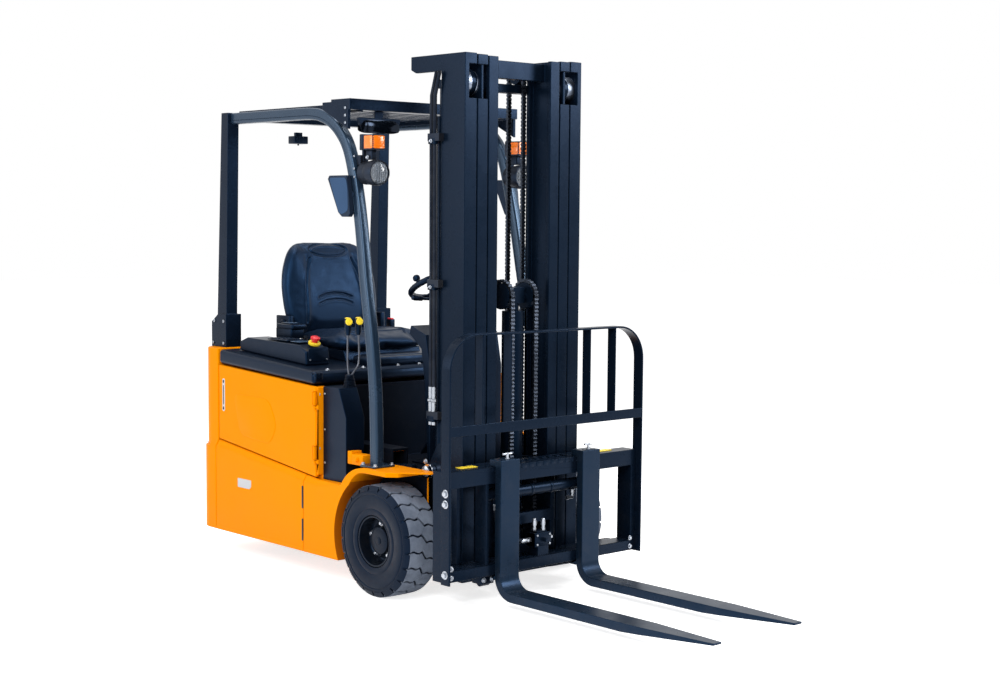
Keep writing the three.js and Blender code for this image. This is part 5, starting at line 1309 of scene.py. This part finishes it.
stick = Kit().tube(smooth_path([
    WHEEL_MIDDLE - COLUMN * 62 + Y * -20,
    WHEEL_MIDDLE - COLUMN * 60 + Y * -70 + along * -20,
    WHEEL_MIDDLE - COLUMN * 48 + Y * -130 + along * -40,
], 6), 6, 12)
handle_foot = WHEEL_MIDDLE - COLUMN * 50 + Y * -120 + along * -36
stick.lathe([(8, 0), (11, 6), (12, 40), (10, 52), (0, 55)], handle_foot, Vector((-0.1, -0.9, 0.1)), 20)
stick.brick((-186, -34, 1160), (-130, 34, 1205), 10, 4)
stick.make("column_stalk", "lever_plastic", "chassis")

roof_box = Kit().brick((-1168, -140, 1860), (-1112, -64, 1895), 6, 3)
roof_box.brick((-1150, -120, 1893), (-1130, -84, 1912), 3, 1)
roof_box.lathe([(4, 0), (4, 8), (0, 9)], (-1140, -102, 1861), -Z, 12)
roof_box.make("roof_box", "lever_plastic", "chassis")

# ---------------------------------------------------------------- skins of the CAD solids
# Material and bevel of each node; a name that ends in _ is a pair, right and left.
SKINS = {
    "body_paint": {
        "frame": 3.0, "counterweight": 5.0, "side_panel_": 4.0, "front_wing_": 3.0, "battery_door_": 7.0,
    },
    "cast_parts": {"drive_axle": 2.0, "steer_knuckle": 2.0, "rear_wheel_hub": 2.0},
    "battery_case": {"battery": 4.0},
    "hood_plastic": {"hood": 18.0, "seat_base": 3.0, "control_console": 8.0, "lever_cowl": 2.5, "dash": 3.0},
    "lever_plastic": {"pedals": 1.5},
    "guard_paint": {"guard_roof": 2.0, "guard_rear_": 2.0},
    "mirror_shell": {"centre_mirror": 1.2, "side_mirror_": 2.0},
    "lamp_housing": {"lamp_": 1.0},
    "mast_paint": {
        "outer_mast": 2.4, "middle_mast": 2.4, "inner_mast": 2.4, "carriage": 1.6, "side_shifter": 1.6,
        "load_backrest": 2.0, "lift_ram": 1.2, "free_lift_cylinder": 1.5, "lift_cylinder_": 1.5,
        "tilt_barrel_": 1.5,
    },
    "ram_chrome": {"tilt_rod_": 1.0},
    "hose_rubber": {"mast_hoses": 0.0},
    "fork_paint": {"fork_": 2.5},
    "wheel_paint": {"front_rim_": 2.0},
}
skin_of = {}
for material, bevels in SKINS.items():
    for node, bevel in bevels.items():
        for side in ("right", "left") if node.endswith("_") else ("",):
            skin_of[node + side] = material, bevel
# Flat faces of these two keep their triangles, since merging them leaves faces that shade wrongly.
TRIANGULATED = ("side_shifter", "guard_roof")
MERGE = 0.6
for node in sorted(skin_of):
    material, bevel = skin_of[node]
    skin = refine(node, material, bevel, 4 if bevel > 5 else 2, 0.0 if node in TRIANGULATED else MERGE)
    if node.startswith("front_wing"):
        shade_arch(skin)
    if node == "frame":
        shade_well(skin)

# ---------------------------------------------------------------- room
FLOOR_SIZE = 60.0
floor = link_object("floor", bpy.data.meshes.new("floor"))
h = FLOOR_SIZE / 2
floor.data.from_pydata([(-h, -h, 0), (h, -h, 0), (h, h, 0), (-h, h, 0)], [], [(0, 1, 2, 3)])
white = Shader("floor_white")
white.set(Roughness=0.9, Emission_Color=(1, 1, 1, 1))
white.colour(white.mix(white.noise(1.5, 3), (0.80, 0.80, 0.80), (0.84, 0.84, 0.84)))
rays = white.tree.nodes.new("ShaderNodeLightPath").outputs
seen = white.maths(rays["Is Camera Ray"], rays["Is Glossy Ray"], "ADD")
seen = white.maths(seen, rays["Is Transmission Ray"], "ADD")
white.link(white.maths(seen, 0.75), white.bsdf.inputs["Emission Strength"])
floor.data.materials.append(white.mat)

world = bpy.data.worlds.new("studio")
bpy.context.scene.world = world
world.use_nodes = True
wt = world.node_tree
background = wt.nodes["Background"]
rays = wt.nodes.new("ShaderNodeLightPath").outputs
value = rays["Is Camera Ray"]
for key in ("Is Glossy Ray", "Is Transmission Ray"):
    n = wt.nodes.new("ShaderNodeMath")
    n.operation, n.use_clamp = "ADD", True
    wt.links.new(value, n.inputs[0])
    wt.links.new(rays[key], n.inputs[1])
    value = n.outputs[0]
level = wt.nodes.new("ShaderNodeMapRange")
level.inputs["To Min"].default_value, level.inputs["To Max"].default_value = 0.38, 1.0
wt.links.new(value, level.inputs["Value"])
wt.links.new(level.outputs["Result"], background.inputs["Strength"])
background.inputs["Color"].default_value = (1, 1, 1, 1)


def lamp(name, at, towards, size, power, colour=(1, 1, 1)):
    data = bpy.data.lights.new(name, "AREA")
    data.shape, data.size, data.size_y = "RECTANGLE", size[0], size[1]
    data.energy, data.color = power, colour
    ob = link_object(name, data)
    ob.location = at
    ob.rotation_mode = "QUATERNION"
    ob.rotation_quaternion = (Vector(towards) - Vector(at)).to_track_quat("-Z", "Y")


lamp("key", P(2600, -4200, 3600), P(0, 0, 900), (2.6, 2.6), 185)
lamp("side", P(-2600, -4300, 2400), P(-400, 0, 900), (2.2, 2.8), 70)
lamp("front", P(3500, 3000, 3400), P(-100, 0, 1100), (2.0, 2.4), 200)
lamp("top", P(-200, 200, 5200), P(-200, 0, 900), (3.6, 3.0), 230)

bpy.context.scene.view_settings.view_transform = "Standard"
